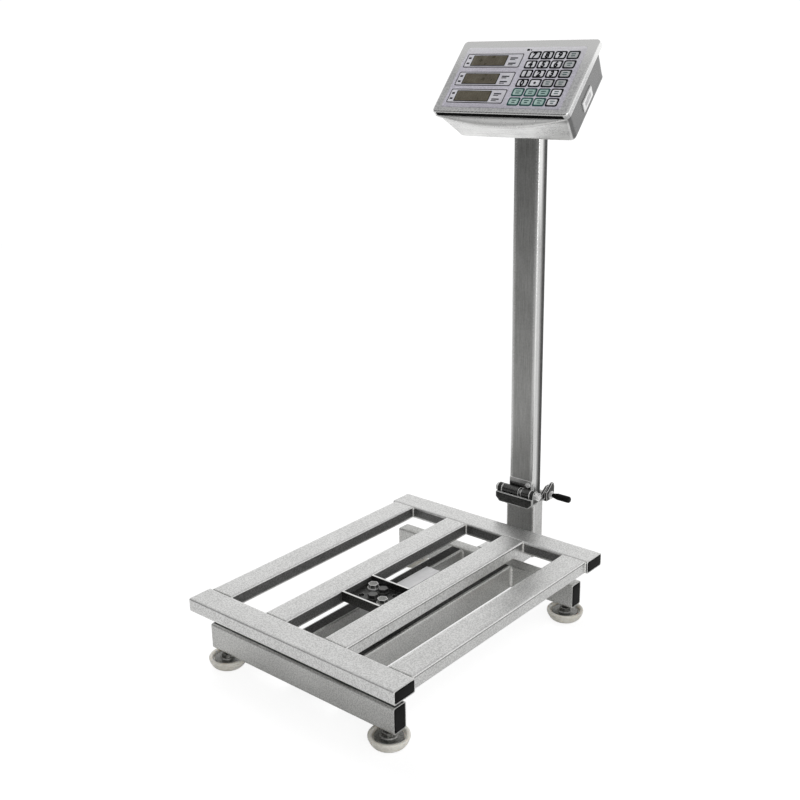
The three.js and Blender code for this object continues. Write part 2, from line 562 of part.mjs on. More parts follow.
function buildCover() {
  const halfWidth = head.width / 2;
  const bow = (t) => 1 - t * t;
  const lip = Array.from({ length: 2 * nose.steps + 1 }, (_, i) => i / nose.steps - 1).map((t) =>
    new THREE.Vector3(t * (halfWidth - OVER), -nose.reach * bow(t),
      -nose.rootDrop - (nose.drop - nose.rootDrop) * bow(t)));
  const under = lip.map((p) => new THREE.Vector3(p.x, p.y + nose.under, p.z - nose.thickness));
  const skin = new ConvexGeometry([
    ...ring(halfWidth - cover.edge, 0, head.length - cover.edge, 0, cover.faceRadius),
    ...ring(halfWidth, -cover.overhang, head.length, -cover.edgeDrop, cover.radius),
    ...ring(halfWidth, -cover.overhang, head.length, -head.skirt, cover.radius),
  ]);
  const visor = new ConvexGeometry([...lip, ...under]);
  const inside = halfWidth - head.sheet;
  const hollow = new ConvexGeometry([
    ...ring(inside, cover.hollowFront, head.length - head.sheet, -head.sheet, cover.faceRadius),
    ...ring(inside, cover.hollowFront, head.length - head.sheet, -head.skirt - OVER, cover.faceRadius),
  ]);
  const holes = windows.fronts.map((front) => block(glass.left, glass.left + glass.width,
    front + glass.inset, front + glass.inset + glass.height, -head.sheet - OVER, OVER));
  addPart('head_cover', cut(join(skin, visor), hollow, ...holes), finish.polished(), headFrame);
}

// The keypad overlay: a thin sheet on the face with one window per display and raised key fields.
function buildOverlay() {
  const bottom = GAP;
  const top = bottom + overlay.thickness;
  const sheet = block(overlay.left, overlay.right, overlay.front, overlay.back, bottom, top);
  const fields = [];
  for (let row = 0; row < keys.rows; row++) {
    for (let column = 0; column < keys.columns; column++) {
      const x = keys.left + column * keys.pitchX;
      const y = keys.front + row * keys.pitchY;
      fields.push(block(x, x + keys.width, y, y + keys.height, (bottom + top) / 2, top + keys.rise));
    }
  }
  addPart('keypad_overlay', join(sheet, ...fields), finish.overlay(), headFrame);
}

function buildHeadInside() {
  const displayTop = -head.sheet - GAP;
  for (const [index, front] of windows.fronts.entries()) {
    const module = block(glass.left - display.side, glass.left + glass.width + display.side,
      front + display.end, front + windows.height - display.end, displayTop - display.thickness, displayTop);
    addPart(`display_${index + 1}`, module, finish.glass(), headFrame);
  }
  const boardTop = displayTop - display.thickness - GAP;
  const panel = block(-board.halfWidth, board.halfWidth, board.front, board.back, boardTop - board.thickness,
    boardTop);
  addPart('main_board', panel, finish.board(), headFrame);
  const floorTop = -tray.depth + tray.wall + GAP;
  const pack = block(battery.left, battery.right, battery.front, battery.back, floorTop,
    floorTop + battery.height);
  addPart('battery', pack, finish.greyPlastic(), headFrame);
  const plateUpper = -tray.depth - GAP;
  const plateLower = plateUpper - headPlate.thickness;
  const plate = block(-headPlate.halfWidth, headPlate.halfWidth, plateCentre - headPlate.halfLength,
    plateCentre + headPlate.halfLength, plateLower, plateUpper);
  const cableWay = rod('z', cable.hole, plateLower - OVER, plateUpper + OVER, [0, plateCentre]);
  addPart('head_plate', cut(plate, cableWay), finish.steel(), headFrame);
}

// The power switch in the right wall of the tray, and the charging socket in its back wall.
function buildSwitchAndSocket() {
  const switchFrame = new THREE.Group();
  switchFrame.position.set(wallAtSwitch, rocker.along, -rocker.depth);
  switchFrame.rotation.y = wallSlope;
  headFrame.add(switchFrame);
  const housing = block(-rocker.bodyDepth, OVER, -rocker.bodyHalf, rocker.bodyHalf, -rocker.bodyHalfWidth,
    rocker.bodyHalfWidth);
  const bezel = block(GAP, rocker.bezelRise, -rocker.bezelHalf, rocker.bezelHalf, -rocker.bezelHalfWidth,
    rocker.bezelHalfWidth);
  const pocket = block(-rocker.pocketDepth, rocker.bezelRise + OVER, -rocker.pocketHalf, rocker.pocketHalf,
    -rocker.pocketHalfWidth, rocker.pocketHalfWidth);
  addPart('switch_body', cut(join(housing, bezel), pocket), finish.blackPlastic(), switchFrame);
  const paddle = new ConvexGeometry([-rocker.paddleHalfWidth, rocker.paddleHalfWidth].flatMap((z) =>
    paddleSection.map(([x, y]) => new THREE.Vector3(x, y, z))));
  paddle.translate(rocker.pivot, 0, 0);
  paddle.rotateZ(THREE.MathUtils.degToRad(-rocker.tilt));
  paddle.translate(-rocker.pivot, 0, 0);
  addPart('switch_rocker', paddle, finish.greyPlastic(), switchFrame);

  const at = [socket.x, -socket.depth];
  const barrel = rod('y', socket.radius, socket.bodyFront, socket.wallFront + OVER, at);
  const flange = rod('y', socket.flange, socket.wallFront, socket.back, at);
  const bore = rod('y', socket.bore, socket.boreFront, socket.back + OVER, at);
  addPart('charge_socket', cut(join(barrel, flange), bore), finish.blackPlastic(), headFrame);
}

// A cable along a smooth curve through the given points.
function cableAlong(points, steps) {
  const curve = new THREE.CatmullRomCurve3(points.map((p) => new THREE.Vector3(...p)), false, 'centripetal');
  const angles = Array.from({ length: cable.sides }, (_, i) => (i / cable.sides) * 2 * Math.PI);
  const section = new THREE.Shape(angles.map((a) =>
    new THREE.Vector2(cable.radius * Math.cos(a), cable.radius * Math.sin(a))));
  return new THREE.ExtrudeGeometry(section, { steps, extrudePath: curve });
}

// The cable's route on each side of the fold, as [y, z] points in the middle plane.
function buildCables() {
  const cellBack = cell.front + cell.length;
  const inPlane = ([y, z]) => [0, y, z];
  const lowerRoute = [[cellBack + 2 * GAP, 70], [cellBack + 10, 70], [cellBack + 50, 50],
    [cellBack + 90, cable.level],
    [base.back, cable.level], [stub.centre - 24, cable.level], [stub.centre - 8, 50], [stub.centre, 62],
    [stub.centre, 85], [stub.centre, stub.top + 2]];
  addPart('signal_cable_base', cableAlong(lowerRoute.map(inPlane), 44), finish.blackPlastic());
  const top = trayPlane(0, stub.centre);
  const inward = (distance) => [stub.centre - distance * Math.sin(tiltAngle),
    top + distance * Math.cos(tiltAngle)];
  const upperRoute = [[stub.centre, stub.top + 5], [stub.centre, 300], [stub.centre, 500],
    [stub.centre, top - 45],
    [stub.centre + 3.5, top - 18], inward(-6), inward(6), inward(20)];
  addPart('signal_cable_post', cableAlong(upperRoute.map(inPlane), 30), finish.blackPlastic());
}

buildPlatform();
buildBase();
buildLoadCell();
buildPostBase();
buildLowerBracket();
buildUpperBracket();
buildHingeFixings();
buildClamp();
buildPost();
buildTray();
buildCover();
buildOverlay();
buildHeadInside();
buildSwitchAndSocket();
buildCables();

export default scale;
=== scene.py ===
"""Looks of the bench scale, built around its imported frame. Sizes in the tables are millimetres; meshes are metres."""
import json
import math

import bpy
import numpy as np
from mathutils import Matrix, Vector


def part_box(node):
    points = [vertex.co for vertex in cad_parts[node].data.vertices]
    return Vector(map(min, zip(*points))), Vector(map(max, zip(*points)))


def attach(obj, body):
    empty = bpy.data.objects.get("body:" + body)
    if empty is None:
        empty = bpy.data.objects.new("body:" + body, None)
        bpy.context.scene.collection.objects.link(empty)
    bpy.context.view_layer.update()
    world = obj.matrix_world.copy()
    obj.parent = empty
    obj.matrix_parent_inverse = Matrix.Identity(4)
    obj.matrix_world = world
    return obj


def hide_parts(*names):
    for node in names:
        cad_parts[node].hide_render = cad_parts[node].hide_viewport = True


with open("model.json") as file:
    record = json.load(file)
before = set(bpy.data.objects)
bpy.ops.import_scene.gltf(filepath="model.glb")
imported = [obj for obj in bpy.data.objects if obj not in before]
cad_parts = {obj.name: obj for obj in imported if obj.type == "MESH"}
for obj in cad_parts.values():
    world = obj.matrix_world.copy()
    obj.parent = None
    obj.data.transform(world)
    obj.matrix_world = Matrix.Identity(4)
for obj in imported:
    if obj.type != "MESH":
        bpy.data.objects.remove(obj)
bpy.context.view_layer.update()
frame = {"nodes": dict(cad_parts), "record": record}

MM = 0.001
BODY_OF = {node: body for body, nodes in frame["record"]["behaviour"]["bodies"].items() for node in nodes}

# ---- Sizes shared with the part's own frame --------------------------------------------------------
HEAD_ORIGIN = np.array([0.0, 169.4, 743.5])     # the middle of the face's front edge
HEAD_TILT = math.radians(49.5)
FACE = {"half": 117.5, "length": 129.0, "skirt": 10.0, "corner": 7.0, "edge": 3.2, "sheet": 1.5}
LIP = {"reach": 14.2, "drop": 9.0, "start": 8.4}
TRAY = {"rim": 115.0, "floor": 99.0, "front": 1.0, "back": 118.0, "depth": 63.0, "corner": 7.0}
KEYS = {"left": 12.0, "front": 12.8, "pitch_x": 21.4, "pitch_y": 16.1, "width": 19.0, "height": 13.4, "rows": 6,
        "columns": 4}
WINDOWS = {"left": -97.5, "width": 100.0, "height": 24.5, "fronts": (15.5, 46.2, 78.8)}
GLASS = {"left": -85.0, "width": 61.0, "height": 15.5, "inset": 4.5}
FILM = {"left": -103.0, "right": 103.0, "front": 8.0, "back": 115.0, "top": 0.8}
TUBE_WALL = 1.5
STUB_WALL = 2.0
TUBE_CORNER = 2.6
PLATFORM_TUBE = (40.0, 20.0)
BASE_TUBE = (24.0, 38.0)
PLATFORM_TOP = 106.0
X, Y, Z = 0, 1, 2
SHARP = 32.0        # degrees between two flats that meet in an edge


# ---- Shader building -------------------------------------------------------------------------------
class Wire:
    """One output of a shader sheet. Arithmetic on it adds Math nodes."""

    def __init__(self, sheet, socket):
        self.sheet = sheet
        self.socket = socket

    def __add__(self, other):
        return self.sheet.math("ADD", self, other)

    def __sub__(self, other):
        return self.sheet.math("SUBTRACT", self, other)

    def __rsub__(self, other):
        return self.sheet.math("SUBTRACT", other, self)

    def __mul__(self, other):
        return self.sheet.math("MULTIPLY", self, other)

    __radd__ = __add__
    __rmul__ = __mul__

    def step(self, low, high):
        """0 below low, 1 above high, smooth between; low may be the larger."""
        return self.sheet.node("ShaderNodeMapRange", {"interpolation_type": "SMOOTHSTEP"},
                               {"Value": self, "From Min": low, "From Max": high})


class Sheet:
    """A node tree under construction: a material's or the world's."""

    def __init__(self, tree):
        self.tree = tree
        tree.nodes.clear()

    def plug(self, socket, value):
        if isinstance(value, Wire):
            self.tree.links.new(value.socket, socket)
        else:
            socket.default_value = value

    def node(self, kind, settings=None, inputs=None, output=0):
        made = self.tree.nodes.new(kind)
        for key, value in (settings or {}).items():
            setattr(made, key, value)
        for key, value in (inputs or {}).items():
            self.plug(made.inputs[key], value)
        return Wire(self, made.outputs[output]) if len(made.outputs) else None

    def math(self, operation, *values):
        return self.node("ShaderNodeMath", {"operation": operation}, dict(enumerate(values)))

    def mix(self, factor, first, second):
        """Colour first where factor is 0, second where it is 1."""
        return self.node("ShaderNodeMix", {"data_type": "RGBA"}, {0: factor, 6: first, 7: second}, output=2)

    def place(self, stretch=(1, 1, 1)):
        """Object coordinates, in metres, stretched."""
        here = self.node("ShaderNodeTexCoord", output="Object")
        return self.node("ShaderNodeMapping", inputs={"Vector": here, "Scale": stretch})

    def noise(self, scale, detail=2.0, stretch=(1, 1, 1), roughness=0.5):
        """Noise whose cells are about 1 / scale metres across, stretched by axis."""
        return self.node("ShaderNodeTexNoise", inputs={"Vector": self.place(stretch), "Scale": scale, "Detail": detail,
                                                       "Roughness": roughness})

    def attribute(self, name):
        return self.node("ShaderNodeAttribute", {"attribute_name": name}, output="Fac")

    def bump(self, height, distance, strength=1.0):
        return self.node("ShaderNodeBump", inputs={"Height": height, "Distance": distance, "Strength": strength})


def colour(red, green=None, blue=None):
    green = red if green is None else green
    blue = red if blue is None else blue
    return (red, green, blue, 1.0)


def finish(name, paint):
    """A material whose Principled sockets are what paint(sheet) returns."""
    material = bpy.data.materials.new(name)
    material.use_nodes = True
    sheet = Sheet(material.node_tree)
    surface = sheet.node("ShaderNodeBsdfPrincipled", inputs=paint(sheet))
    sheet.node("ShaderNodeOutputMaterial", inputs={"Surface": surface})
    return material


def steel(name, light, dark, roughness, along=0, brush=0.5, speckle=0.5, arris=0.6, metal=1.0, highlight_above=None,
          bright=0.93, sharpness=0.1, sheen_band=None):
    """Ground stainless: fine brush lines along one axis, a speckle of short scratches, slow clouding, bright arrises
    where the piece's 'edge' attribute is 1, partly wear and partly painted highlight, and painted shade, dark and
    rough, where its 'shade' attribute is 1. Above a given height (metres) the colour is a painted highlight; a given
    (from height, to height, amount) adds a painted sheen that brightens slowly with height."""
    def paint(sheet):
        stretch = [620.0, 620.0, 620.0]
        stretch[along] = 24.0
        lines = sheet.noise(1.0, 3.0, stretch, 0.6)
        grain = sheet.noise(460.0, 1.5, roughness=0.6)
        cloud = sheet.noise(17.0, 3.0, roughness=0.55)
        smear = sheet.noise(58.0, 2.0)
        shade = (lines.step(0.3, 0.7) * brush + grain.step(0.5 - sharpness, 0.5 + sharpness) * speckle
                 + cloud.step(0.3, 0.7) * 0.3 + smear * 0.2)
        shade = shade * (1.0 / (brush + speckle + 0.5))
        # Arrises where the edge attribute is 1: partly wear, partly painted highlight; the height bands below are
        # painted highlight and painted sheen.
        wear_and_highlight = sheet.attribute("edge") * arris
        if highlight_above is not None:
            height = sheet.node("ShaderNodeSeparateXYZ", inputs={0: sheet.place()}, output="Z")
            wear_and_highlight = sheet.math("MAXIMUM", wear_and_highlight, height.step(highlight_above - 0.0004, highlight_above + 0.0002))
        wear_and_highlight = wear_and_highlight * (0.85 + 0.25 * cloud)
        if sheen_band:
            height = sheet.node("ShaderNodeSeparateXYZ", inputs={0: sheet.place()}, output="Z")
            wear_and_highlight = sheet.math("MAXIMUM", wear_and_highlight, height.step(sheen_band[0], sheen_band[1]) * sheen_band[2])
        base = sheet.mix(wear_and_highlight, sheet.mix(shade, colour(*dark), colour(*light)), colour(bright, bright, bright * 0.99))
        # Painted shade: dark, rough steel where the shade attribute is 1.
        base = sheet.mix(sheet.attribute("shade"), base, sheet.mix(grain.step(0.35, 0.65), colour(0.03), colour(0.09)))
        rough = roughness + 0.12 * grain + 0.10 * cloud - 0.11 - 0.12 * wear_and_highlight + 0.3 * sheet.attribute("shade")
        height = lines * brush + grain * speckle
        return {"Base Color": base, "Metallic": metal, "Roughness": rough, "Normal": sheet.bump(height, 0.00009)}
    return finish(name, paint)


def polished(name, light, dark, roughness, along=0, metal=1.0):
    """Bright rolled or plated metal with faint smudges and hairlines, darkened as painted shade where the 'shade'
    attribute is 1.
    """
    def paint(sheet):
        stretch = [420.0, 420.0, 420.0]
        stretch[along] = 16.0
        hair = sheet.noise(1.0, 2.0, stretch)
        smudge = sheet.noise(36.0, 4.0, roughness=0.6)
        arris = sheet.attribute("edge")
        tone = (hair * 0.4 + smudge * 0.6).step(0.3, 0.7)
        base = sheet.mix(arris, sheet.mix(tone, colour(*dark), colour(*light)), colour(0.96, 0.96, 0.95))
        base = sheet.mix(sheet.attribute("shade"), base, sheet.mix(hair, colour(0.10), colour(0.20)))
        return {"Base Color": base, "Metallic": metal, "Roughness": roughness + 0.14 * smudge + 0.05 * hair - 0.04,
                "Normal": sheet.bump(hair + smudge, 0.00005)}
    return finish(name, paint)


def plastic(name, light, dark, roughness, grain=900.0, depth=0.00008, gloss=0.5, subsurface=0.0):
    """Moulded plastic or rubber with a fine spark-eroded grain and a little dust in the clouding."""
    def paint(sheet):
        leather = sheet.noise(grain, 2.0, roughness=0.6)
        cloud = sheet.noise(45.0, 3.0)
        base = sheet.mix((leather * 0.45 + cloud * 0.55).step(0.32, 0.68), colour(*dark), colour(*light))
        inputs = {"Base Color": base, "Roughness": roughness + 0.16 * leather + 0.10 * cloud - 0.12,
                  "Normal": sheet.bump(leather, depth), "Specular IOR Level": gloss}
        if subsurface:
            inputs.update({"Subsurface Weight": subsurface, "Subsurface Radius": (0.004, 0.0036, 0.003),
                           "Subsurface Scale": 1.0})
        return inputs
    return finish(name, paint)


# ---- Mesh building ---------------------------------------------------------------------------------
def section(width, height, radius, steps=6, blend=1.4):
    """A rounded rectangle's outline, counter-clockwise: at each corner an arc of the radius, with one more point just
    before and after it. Returns the points and an edge value, 1 on the arcs and 0 on the flats."""
    turn = np.linspace(0.0, math.pi / 2, steps + 1)
    points, edge = [], []
    for quarter in range(4):
        sx = 1 if quarter in (0, 3) else -1
        sy = 1 if quarter in (0, 1) else -1
        angle = turn + quarter * math.pi / 2
        centre = np.array([sx * (width / 2 - radius), sy * (height / 2 - radius)])
        arc = centre + radius * np.stack([np.cos(angle), np.sin(angle)], 1)
        before = arc[0] + blend * np.array([math.sin(angle[0]), -math.cos(angle[0])])
        after = arc[-1] + blend * np.array([-math.sin(angle[-1]), math.cos(angle[-1])])
        points.append(np.vstack([before, arc, after]))
        edge.append(np.concatenate([[0.0], np.ones(steps + 1), [0.0]]))
    return np.vstack(points), np.concatenate(edge)


def loft(rings, close_rows=False, cap_ends=False):
    """Quads between rings, an array of rows x points x 3 whose points run round a closed outline. The rows may close on
    themselves, or the first and last row may be filled with a fan to their own middle."""
    rings = np.asarray(rings, float)
    rows, count = rings.shape[:2]
    index = np.arange(rows * count).reshape(rows, count)
    if close_rows:
        index = np.vstack([index, index[:1]])
    around = np.roll(index, -1, axis=1)
    faces = np.stack([index[:-1], around[:-1], around[1:], index[1:]], -1).reshape(-1, 4).tolist()
    points = rings.reshape(-1, 3)
    if cap_ends:
        first, last = len(points), len(points) + 1
        points = np.vstack([points, rings[0].mean(0), rings[-1].mean(0)])
        faces += [[first, around[0][i], index[0][i]] for i in range(count)]
        faces += [[last, index[rows - 1][i], around[rows - 1][i]] for i in range(count)]
    return points, faces


def outward(points, faces):
    """The faces turned so that the closed surface's volume is positive."""
    volume = 0.0
    for size in {len(face) for face in faces}:
        table = np.array([face for face in faces if len(face) == size])
        for k in range(1, size - 1):
            a, b, c = points[table[:, 0]], points[table[:, k]], points[table[:, k + 1]]
            volume += np.einsum("ij,ij->i", a, np.cross(b, c)).sum()
    return faces if volume > 0 else [face[::-1] for face in faces]


def merged(shapes):
    """Several (points, faces) as one."""
    points, faces, start = [], [], 0
    for p, f in shapes:
        f = outward(p, f)
        points.append(p)
        faces += [[i + start for i in face] for face in f]
        start += len(p)
    return np.vstack(points), faces


def piece(name, shape, material, body, edge=None, sharp=SHARP, stands_for=(), shade=None):
    """A mesh object made from millimetre points and faces, riding on a body."""
    points, faces = shape
    mesh = bpy.data.meshes.new(name)
    mesh.from_pydata(np.asarray(points) * MM, [], outward(np.asarray(points), faces))
    mesh.polygons.foreach_set("use_smooth", np.ones(len(mesh.polygons), bool))
    mesh.set_sharp_from_angle(angle=math.radians(sharp))
    values = np.zeros(len(points), np.float32) if edge is None else np.asarray(edge, np.float32)
    mesh.attributes.new("edge", "FLOAT", "POINT").data.foreach_set("value", values)
    if shade is not None:
        mesh.attributes.new("shade", "FLOAT", "POINT").data.foreach_set("value", np.asarray(shade, np.float32))
    mesh.materials.append(material)
    made = bpy.data.objects.new(name, mesh)
    bpy.context.scene.collection.objects.link(made)
    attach(made, body)
    if stands_for:
        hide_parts(*stands_for)
    return made


def box_mm(node):
    low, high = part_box(node)
    return np.array(low) / MM, np.array(high) / MM


def welded(node):
    """A CAD node's points, in millimetres and each of them once, and its triangles."""
    source = frame["nodes"][node].data
    count = len(source.vertices)
    points = np.empty(count * 3)
    source.vertices.foreach_get("co", points)
    points = points.reshape(-1, 3) / MM
    kept, where = np.unique(np.round(points, 3), axis=0, return_inverse=True)
    where = where.ravel()
    corners = np.empty(len(source.loops), int)
    source.loops.foreach_get("vertex_index", corners)
    return kept, [list(face) for face in where[corners].reshape(-1, 3) if len(set(face)) == 3]


def dressed(node, material, bevel=0.5, sharp=SHARP, arris=None):
    """A welded copy of a CAD node with its arrises bevelled, standing for the node."""
    made = piece(f"{node}.finished", welded(node), material, BODY_OF[node], sharp=sharp, stands_for=(node,))
    if bevel:
        rounding = made.modifiers.new("arris", "BEVEL")
        rounding.width = bevel * MM
        rounding.segments = 2
        rounding.limit_method = "ANGLE"
        rounding.angle_limit = math.radians(sharp)
        rounding.use_clamp_overlap = True
        rounding.harden_normals = True
        if arris:
            made.data.materials.append(arris)
            rounding.material = 1
    return made


def axes_for(along):
    """Columns that carry a section's x, a section's y and the length to the frame's axes, for a bar along X, Y or Z."""
    return {X: (Y, Z, X), Y: (X, Z, Y), Z: (X, Y, Z)}[along]


def tube_shape(low, high, along, wall, corner, blend=1.4):
    """A hollow bar filling a box: the rounded section swept straight, with a small bevel at both mouths and the same
    section again, smaller by the wall, for the bore. Returns the shape and its edge values."""
    across, up, length = axes_for(along)
    size = high - low
    middle = (low + high) / 2
    outer, edge = section(size[across], size[up], corner, blend=blend)
    shrink = np.array([(size[across] - 2 * wall) / size[across], (size[up] - 2 * wall) / size[up]])
    chamfer = 1.0 - 0.5 / np.array([size[across], size[up]])
    start, end = low[length], high[length]
    # The third value of each row goes into the edge values: a painted highlight round the bevelled mouths.
    rows = [(outer * shrink, start, 0.6), (outer * chamfer, start, 0.8), (outer, start + 0.4, 0.3),
            (outer, start + 1.2, 0.0), (outer, end - 1.2, 0.0), (outer, end - 0.4, 0.3), (outer * chamfer, end, 0.8),
            (outer * shrink, end, 0.6)]
    rings, values = [], []
    for outline, at, brightness in rows:
        ring = np.empty((len(outline), 3))
        ring[:, across] = middle[across] + outline[:, 0]
        ring[:, up] = middle[up] + outline[:, 1]
        ring[:, length] = at
        rings.append(ring)
        values.append(np.maximum(edge, brightness))
    return loft(np.array(rings), close_rows=True), np.concatenate(values)


def shaded_flats(points, edge, faces, line=None):
    """The edge and shade values of a tube's points. Each of the faces is (axis, sign, shade) for one flat of the tube,
    darkened as painted shade; line is the (axis, sign) of a flat whose upper arris gets a dark line of painted shade."""
    low, high = points.min(0), points.max(0)
    shade = np.zeros(len(points))
    edge = edge.copy()
    at = {1: lambda axis: points[:, axis] > high[axis] - 0.02, -1: lambda axis: points[:, axis] < low[axis] + 0.02}
    for axis, sign, amount in faces:
        shade[at[sign](axis) & (edge < 0.5)] = amount
    if line:
        axis, sign = line
        dark = at[sign](axis) & (edge > 0.5) & (points[:, 2] > (low[2] + high[2]) / 2)
        shade[dark] = 0.85
        edge[dark] = 0.0
    return edge, shade


def tube(node, material, along, wall=TUBE_WALL, corner=TUBE_CORNER, faces=(), line=None):
    low, high = box_mm(node)
    shape, edge = tube_shape(low, high, along, wall, corner)
    edge, shade = shaded_flats(shape[0], edge, faces, line)
    return piece(f"{node}.finished", shape, material, BODY_OF[node], edge, stands_for=(node,), shade=shade)


def end_plug(node, side, tube_size):
    """A black plug in a tube's mouth: a rounded rectangle, domed by a third of a millimetre, inside the tube's rim."""
    low, high = box_mm(node)
    face = high[0] if side > 0 else low[0]
    seat = face - side * 0.8
    centre = (low + high) / 2
    outline, _ = section(*(size - 2 * TUBE_WALL - 2.0 for size in tube_size), 1.8)
    rows = []
    for shrink, back in ((1.0, 10.0), (1.0, 2.0), (1.0, 0.7), (0.985, 0.25), (0.95, 0.0), (0.62, -0.25), (0.1, -0.35)):
        ring = np.empty((len(outline), 3))
        ring[:, 0] = seat - side * back
        ring[:, 1:] = centre[1:] + outline * shrink
        rows.append(ring)
    return piece(f"{node}.finished", loft(rows, cap_ends=True), BLACK, BODY_OF[node], stands_for=(node,))


def turned(profile, segments=48):
    """A profile of (radius, height) turned about Z, closed at its ends by fans."""
    angle = np.linspace(0.0, 2 * math.pi, segments, endpoint=False)
    profile = np.asarray(profile, float)
    ring = np.stack([np.cos(angle), np.sin(angle), np.zeros(segments)], 1)
    rows = profile[:, :1, None] * ring[None] + np.array([0.0, 0.0, 1.0]) * profile[:, 1, None, None]
    return loft(rows, cap_ends=True)


def bead(foot, top, radius, phase):
    """A weld bead: a thin upright rod whose radius ripples as a sine of its height and closes at both ends, and whose
    line wanders a little."""
    height = np.linspace(foot[2], top, 25)
    share = np.linspace(0.0, 1.0, 25)
    swell = radius * np.clip(np.minimum(share, 1 - share) * 9.0, 0.15, 1.0) * (1 + 0.16 * np.sin(height * 3.1 + phase))
    angle = np.linspace(0.0, 2 * math.pi, 10, endpoint=False)
    ring = np.stack([np.cos(angle), np.sin(angle), np.zeros(10)], 1)
    drift = np.stack([0.25 * np.sin(height * 1.3 + phase), 0.25 * np.cos(height * 1.7 + phase), np.zeros(25)], 1)
    middle = np.stack([np.full(25, foot[0]), np.full(25, foot[1]), height], 1) + drift
    return loft(middle[:, None] + swell[:, None, None] * ring[None], cap_ends=True)


def to_head(points):
    """Points of the head's own frame (x across, y up the face, z out of it) carried to the whole frame."""
    points = np.asarray(points, float)
    cos, sin = math.cos(HEAD_TILT), math.sin(HEAD_TILT)
    out = points.copy()
    out[:, 1] = points[:, 1] * cos - points[:, 2] * sin
    out[:, 2] = points[:, 1] * sin + points[:, 2] * cos
    return out + HEAD_ORIGIN


def in_head(shape):
    return to_head(shape[0]), shape[1]


def arrises(name, nodes, radius=0.5, sunk=0.35, sharp=SHARP):
    """Painted highlights on arrises: along each outer edge where two flats of a CAD node meet at more than the sharp
    angle, a six-sided bright rod whose middle line is sunk into the node along the mean of the two normals."""
    rods = []
    turn = np.arange(6) * math.pi / 3
    for node in nodes:
        points, triangles = welded(node)
        table = np.array(outward(points, triangles))
        a, b, c = (points[table[:, k]] for k in range(3))
        normals = np.cross(b - a, c - a)
        normals /= np.maximum(np.linalg.norm(normals, axis=1, keepdims=True), 1e-9)
        middles = (a + b + c) / 3
        owners = {}
        for number, face in enumerate(table):
            for k in range(3):
                owners.setdefault(frozenset((int(face[k]), int(face[(k + 1) % 3]))), []).append(number)
        for ends, pair in owners.items():
            if len(pair) != 2:
                continue
            start, end = (points[i] for i in sorted(ends))
            first, second = normals[pair[0]], normals[pair[1]]
            if first @ second > math.cos(math.radians(sharp)) or first @ (middles[pair[1]] - start) > 0.0:
                continue
            lean = first + second
            lean /= max(np.linalg.norm(lean), 1e-9)
            along = (end - start) / np.linalg.norm(end - start)
            side = np.cross(along, lean)
            ring = radius * (np.cos(turn)[:, None] * lean + np.sin(turn)[:, None] * side)
            rods.append(loft([start - lean * sunk + ring, end - lean * sunk + ring], cap_ends=True))
    return piece(name, merged(rods), ARRIS_HIGHLIGHT, BODY_OF[nodes[0]], sharp=70)


def plate_shape(left, right, front, back, bottom, top, corner, soft=0.25, steps=5, crown=0.0):
    """A rounded rectangular plate with a softened rim; its top may be crowned. Rings step in from the rim."""
    width, height = right - left, back - front
    middle = np.array([(left + right) / 2, (front + back) / 2])
    outline, _ = section(width, height, corner, steps, blend=min(0.4, corner))
    rows = []
    for inset, at in ((0.0, bottom), (0.0, top - soft), (soft * 0.3, top - soft * 0.3), (soft, top)):
        scale = np.array([(width - 2 * inset) / width, (height - 2 * inset) / height])
        rows.append(np.column_stack([middle + outline * scale, np.full(len(outline), at)]))
    for share in (0.75, 0.4):
        rows.append(np.column_stack([middle + outline * share, np.full(len(outline), top + crown * (1 - share ** 2))]))
    return loft(rows, cap_ends=True)


def rim_shape(left, right, front, back, width, bottom, top, corner):
    """A flat frame: the band between a rounded rectangle and the same one, smaller by the band's width."""
    middle = np.array([(left + right) / 2, (front + back) / 2])
    size = np.array([right - left, back - front])
    outline, _ = section(*size, corner, 4, blend=0.3)
    inner = outline * ((size - 2 * width) / size)
    rows = [(outline, bottom), (outline, top), (inner, top), (inner, bottom)]
    return loft([np.column_stack([middle + o, np.full(len(o), z)]) for o, z in rows], close_rows=True)


# ---- Finishes --------------------------------------------------------------------------------------
SATIN = {axis: steel(f"satin_steel_along_{'xyz'[axis]}", (0.98, 0.98, 0.97), (0.60, 0.60, 0.59), 0.34, along=axis,
                     brush=0.25, speckle=1.1, arris=0.2, sharpness=0.1) for axis in (X, Y)}
BASE_STEEL = steel("satin_steel_base", (0.80, 0.80, 0.78), (0.45, 0.45, 0.44), 0.36, brush=0.3, speckle=0.9, arris=0.0)
BEAM_STEEL = steel("satin_steel_beam", (0.84, 0.84, 0.82), (0.48, 0.48, 0.47), 0.36, along=1, brush=0.3, speckle=0.9,
                   arris=0.0)
# The post's steel is a darker version of the stub's steel below: the difference is painted shade.
POST_STEEL = steel("satin_steel_post", (0.52, 0.52, 0.51), (0.29, 0.29, 0.28), 0.33, along=2, brush=0.8, speckle=0.35,
                   arris=0.9)
STUB_STEEL = steel("satin_steel_stub", (0.76, 0.76, 0.75), (0.42, 0.42, 0.41), 0.33, along=2, brush=0.6, speckle=0.5)
BRACKET_STEEL = steel("pressed_steel", (0.12, 0.12, 0.117), (0.03, 0.03, 0.029), 0.3, brush=0.2)
# Above 149 mm the upper bracket is brightened: a painted highlight.
UPPER_STEEL = steel("pressed_steel_upper", (0.20, 0.20, 0.197), (0.05, 0.05, 0.049), 0.26, brush=0.2, highlight_above=0.149,
                    bright=0.42)
FOOT_STEEL = steel("foot_steel", (0.40, 0.40, 0.385), (0.17, 0.17, 0.163), 0.36, brush=0.1, speckle=0.8)
DARK_STEEL = steel("dark_steel", (0.20, 0.20, 0.195), (0.09, 0.09, 0.088), 0.38, brush=0.1, speckle=0.8)
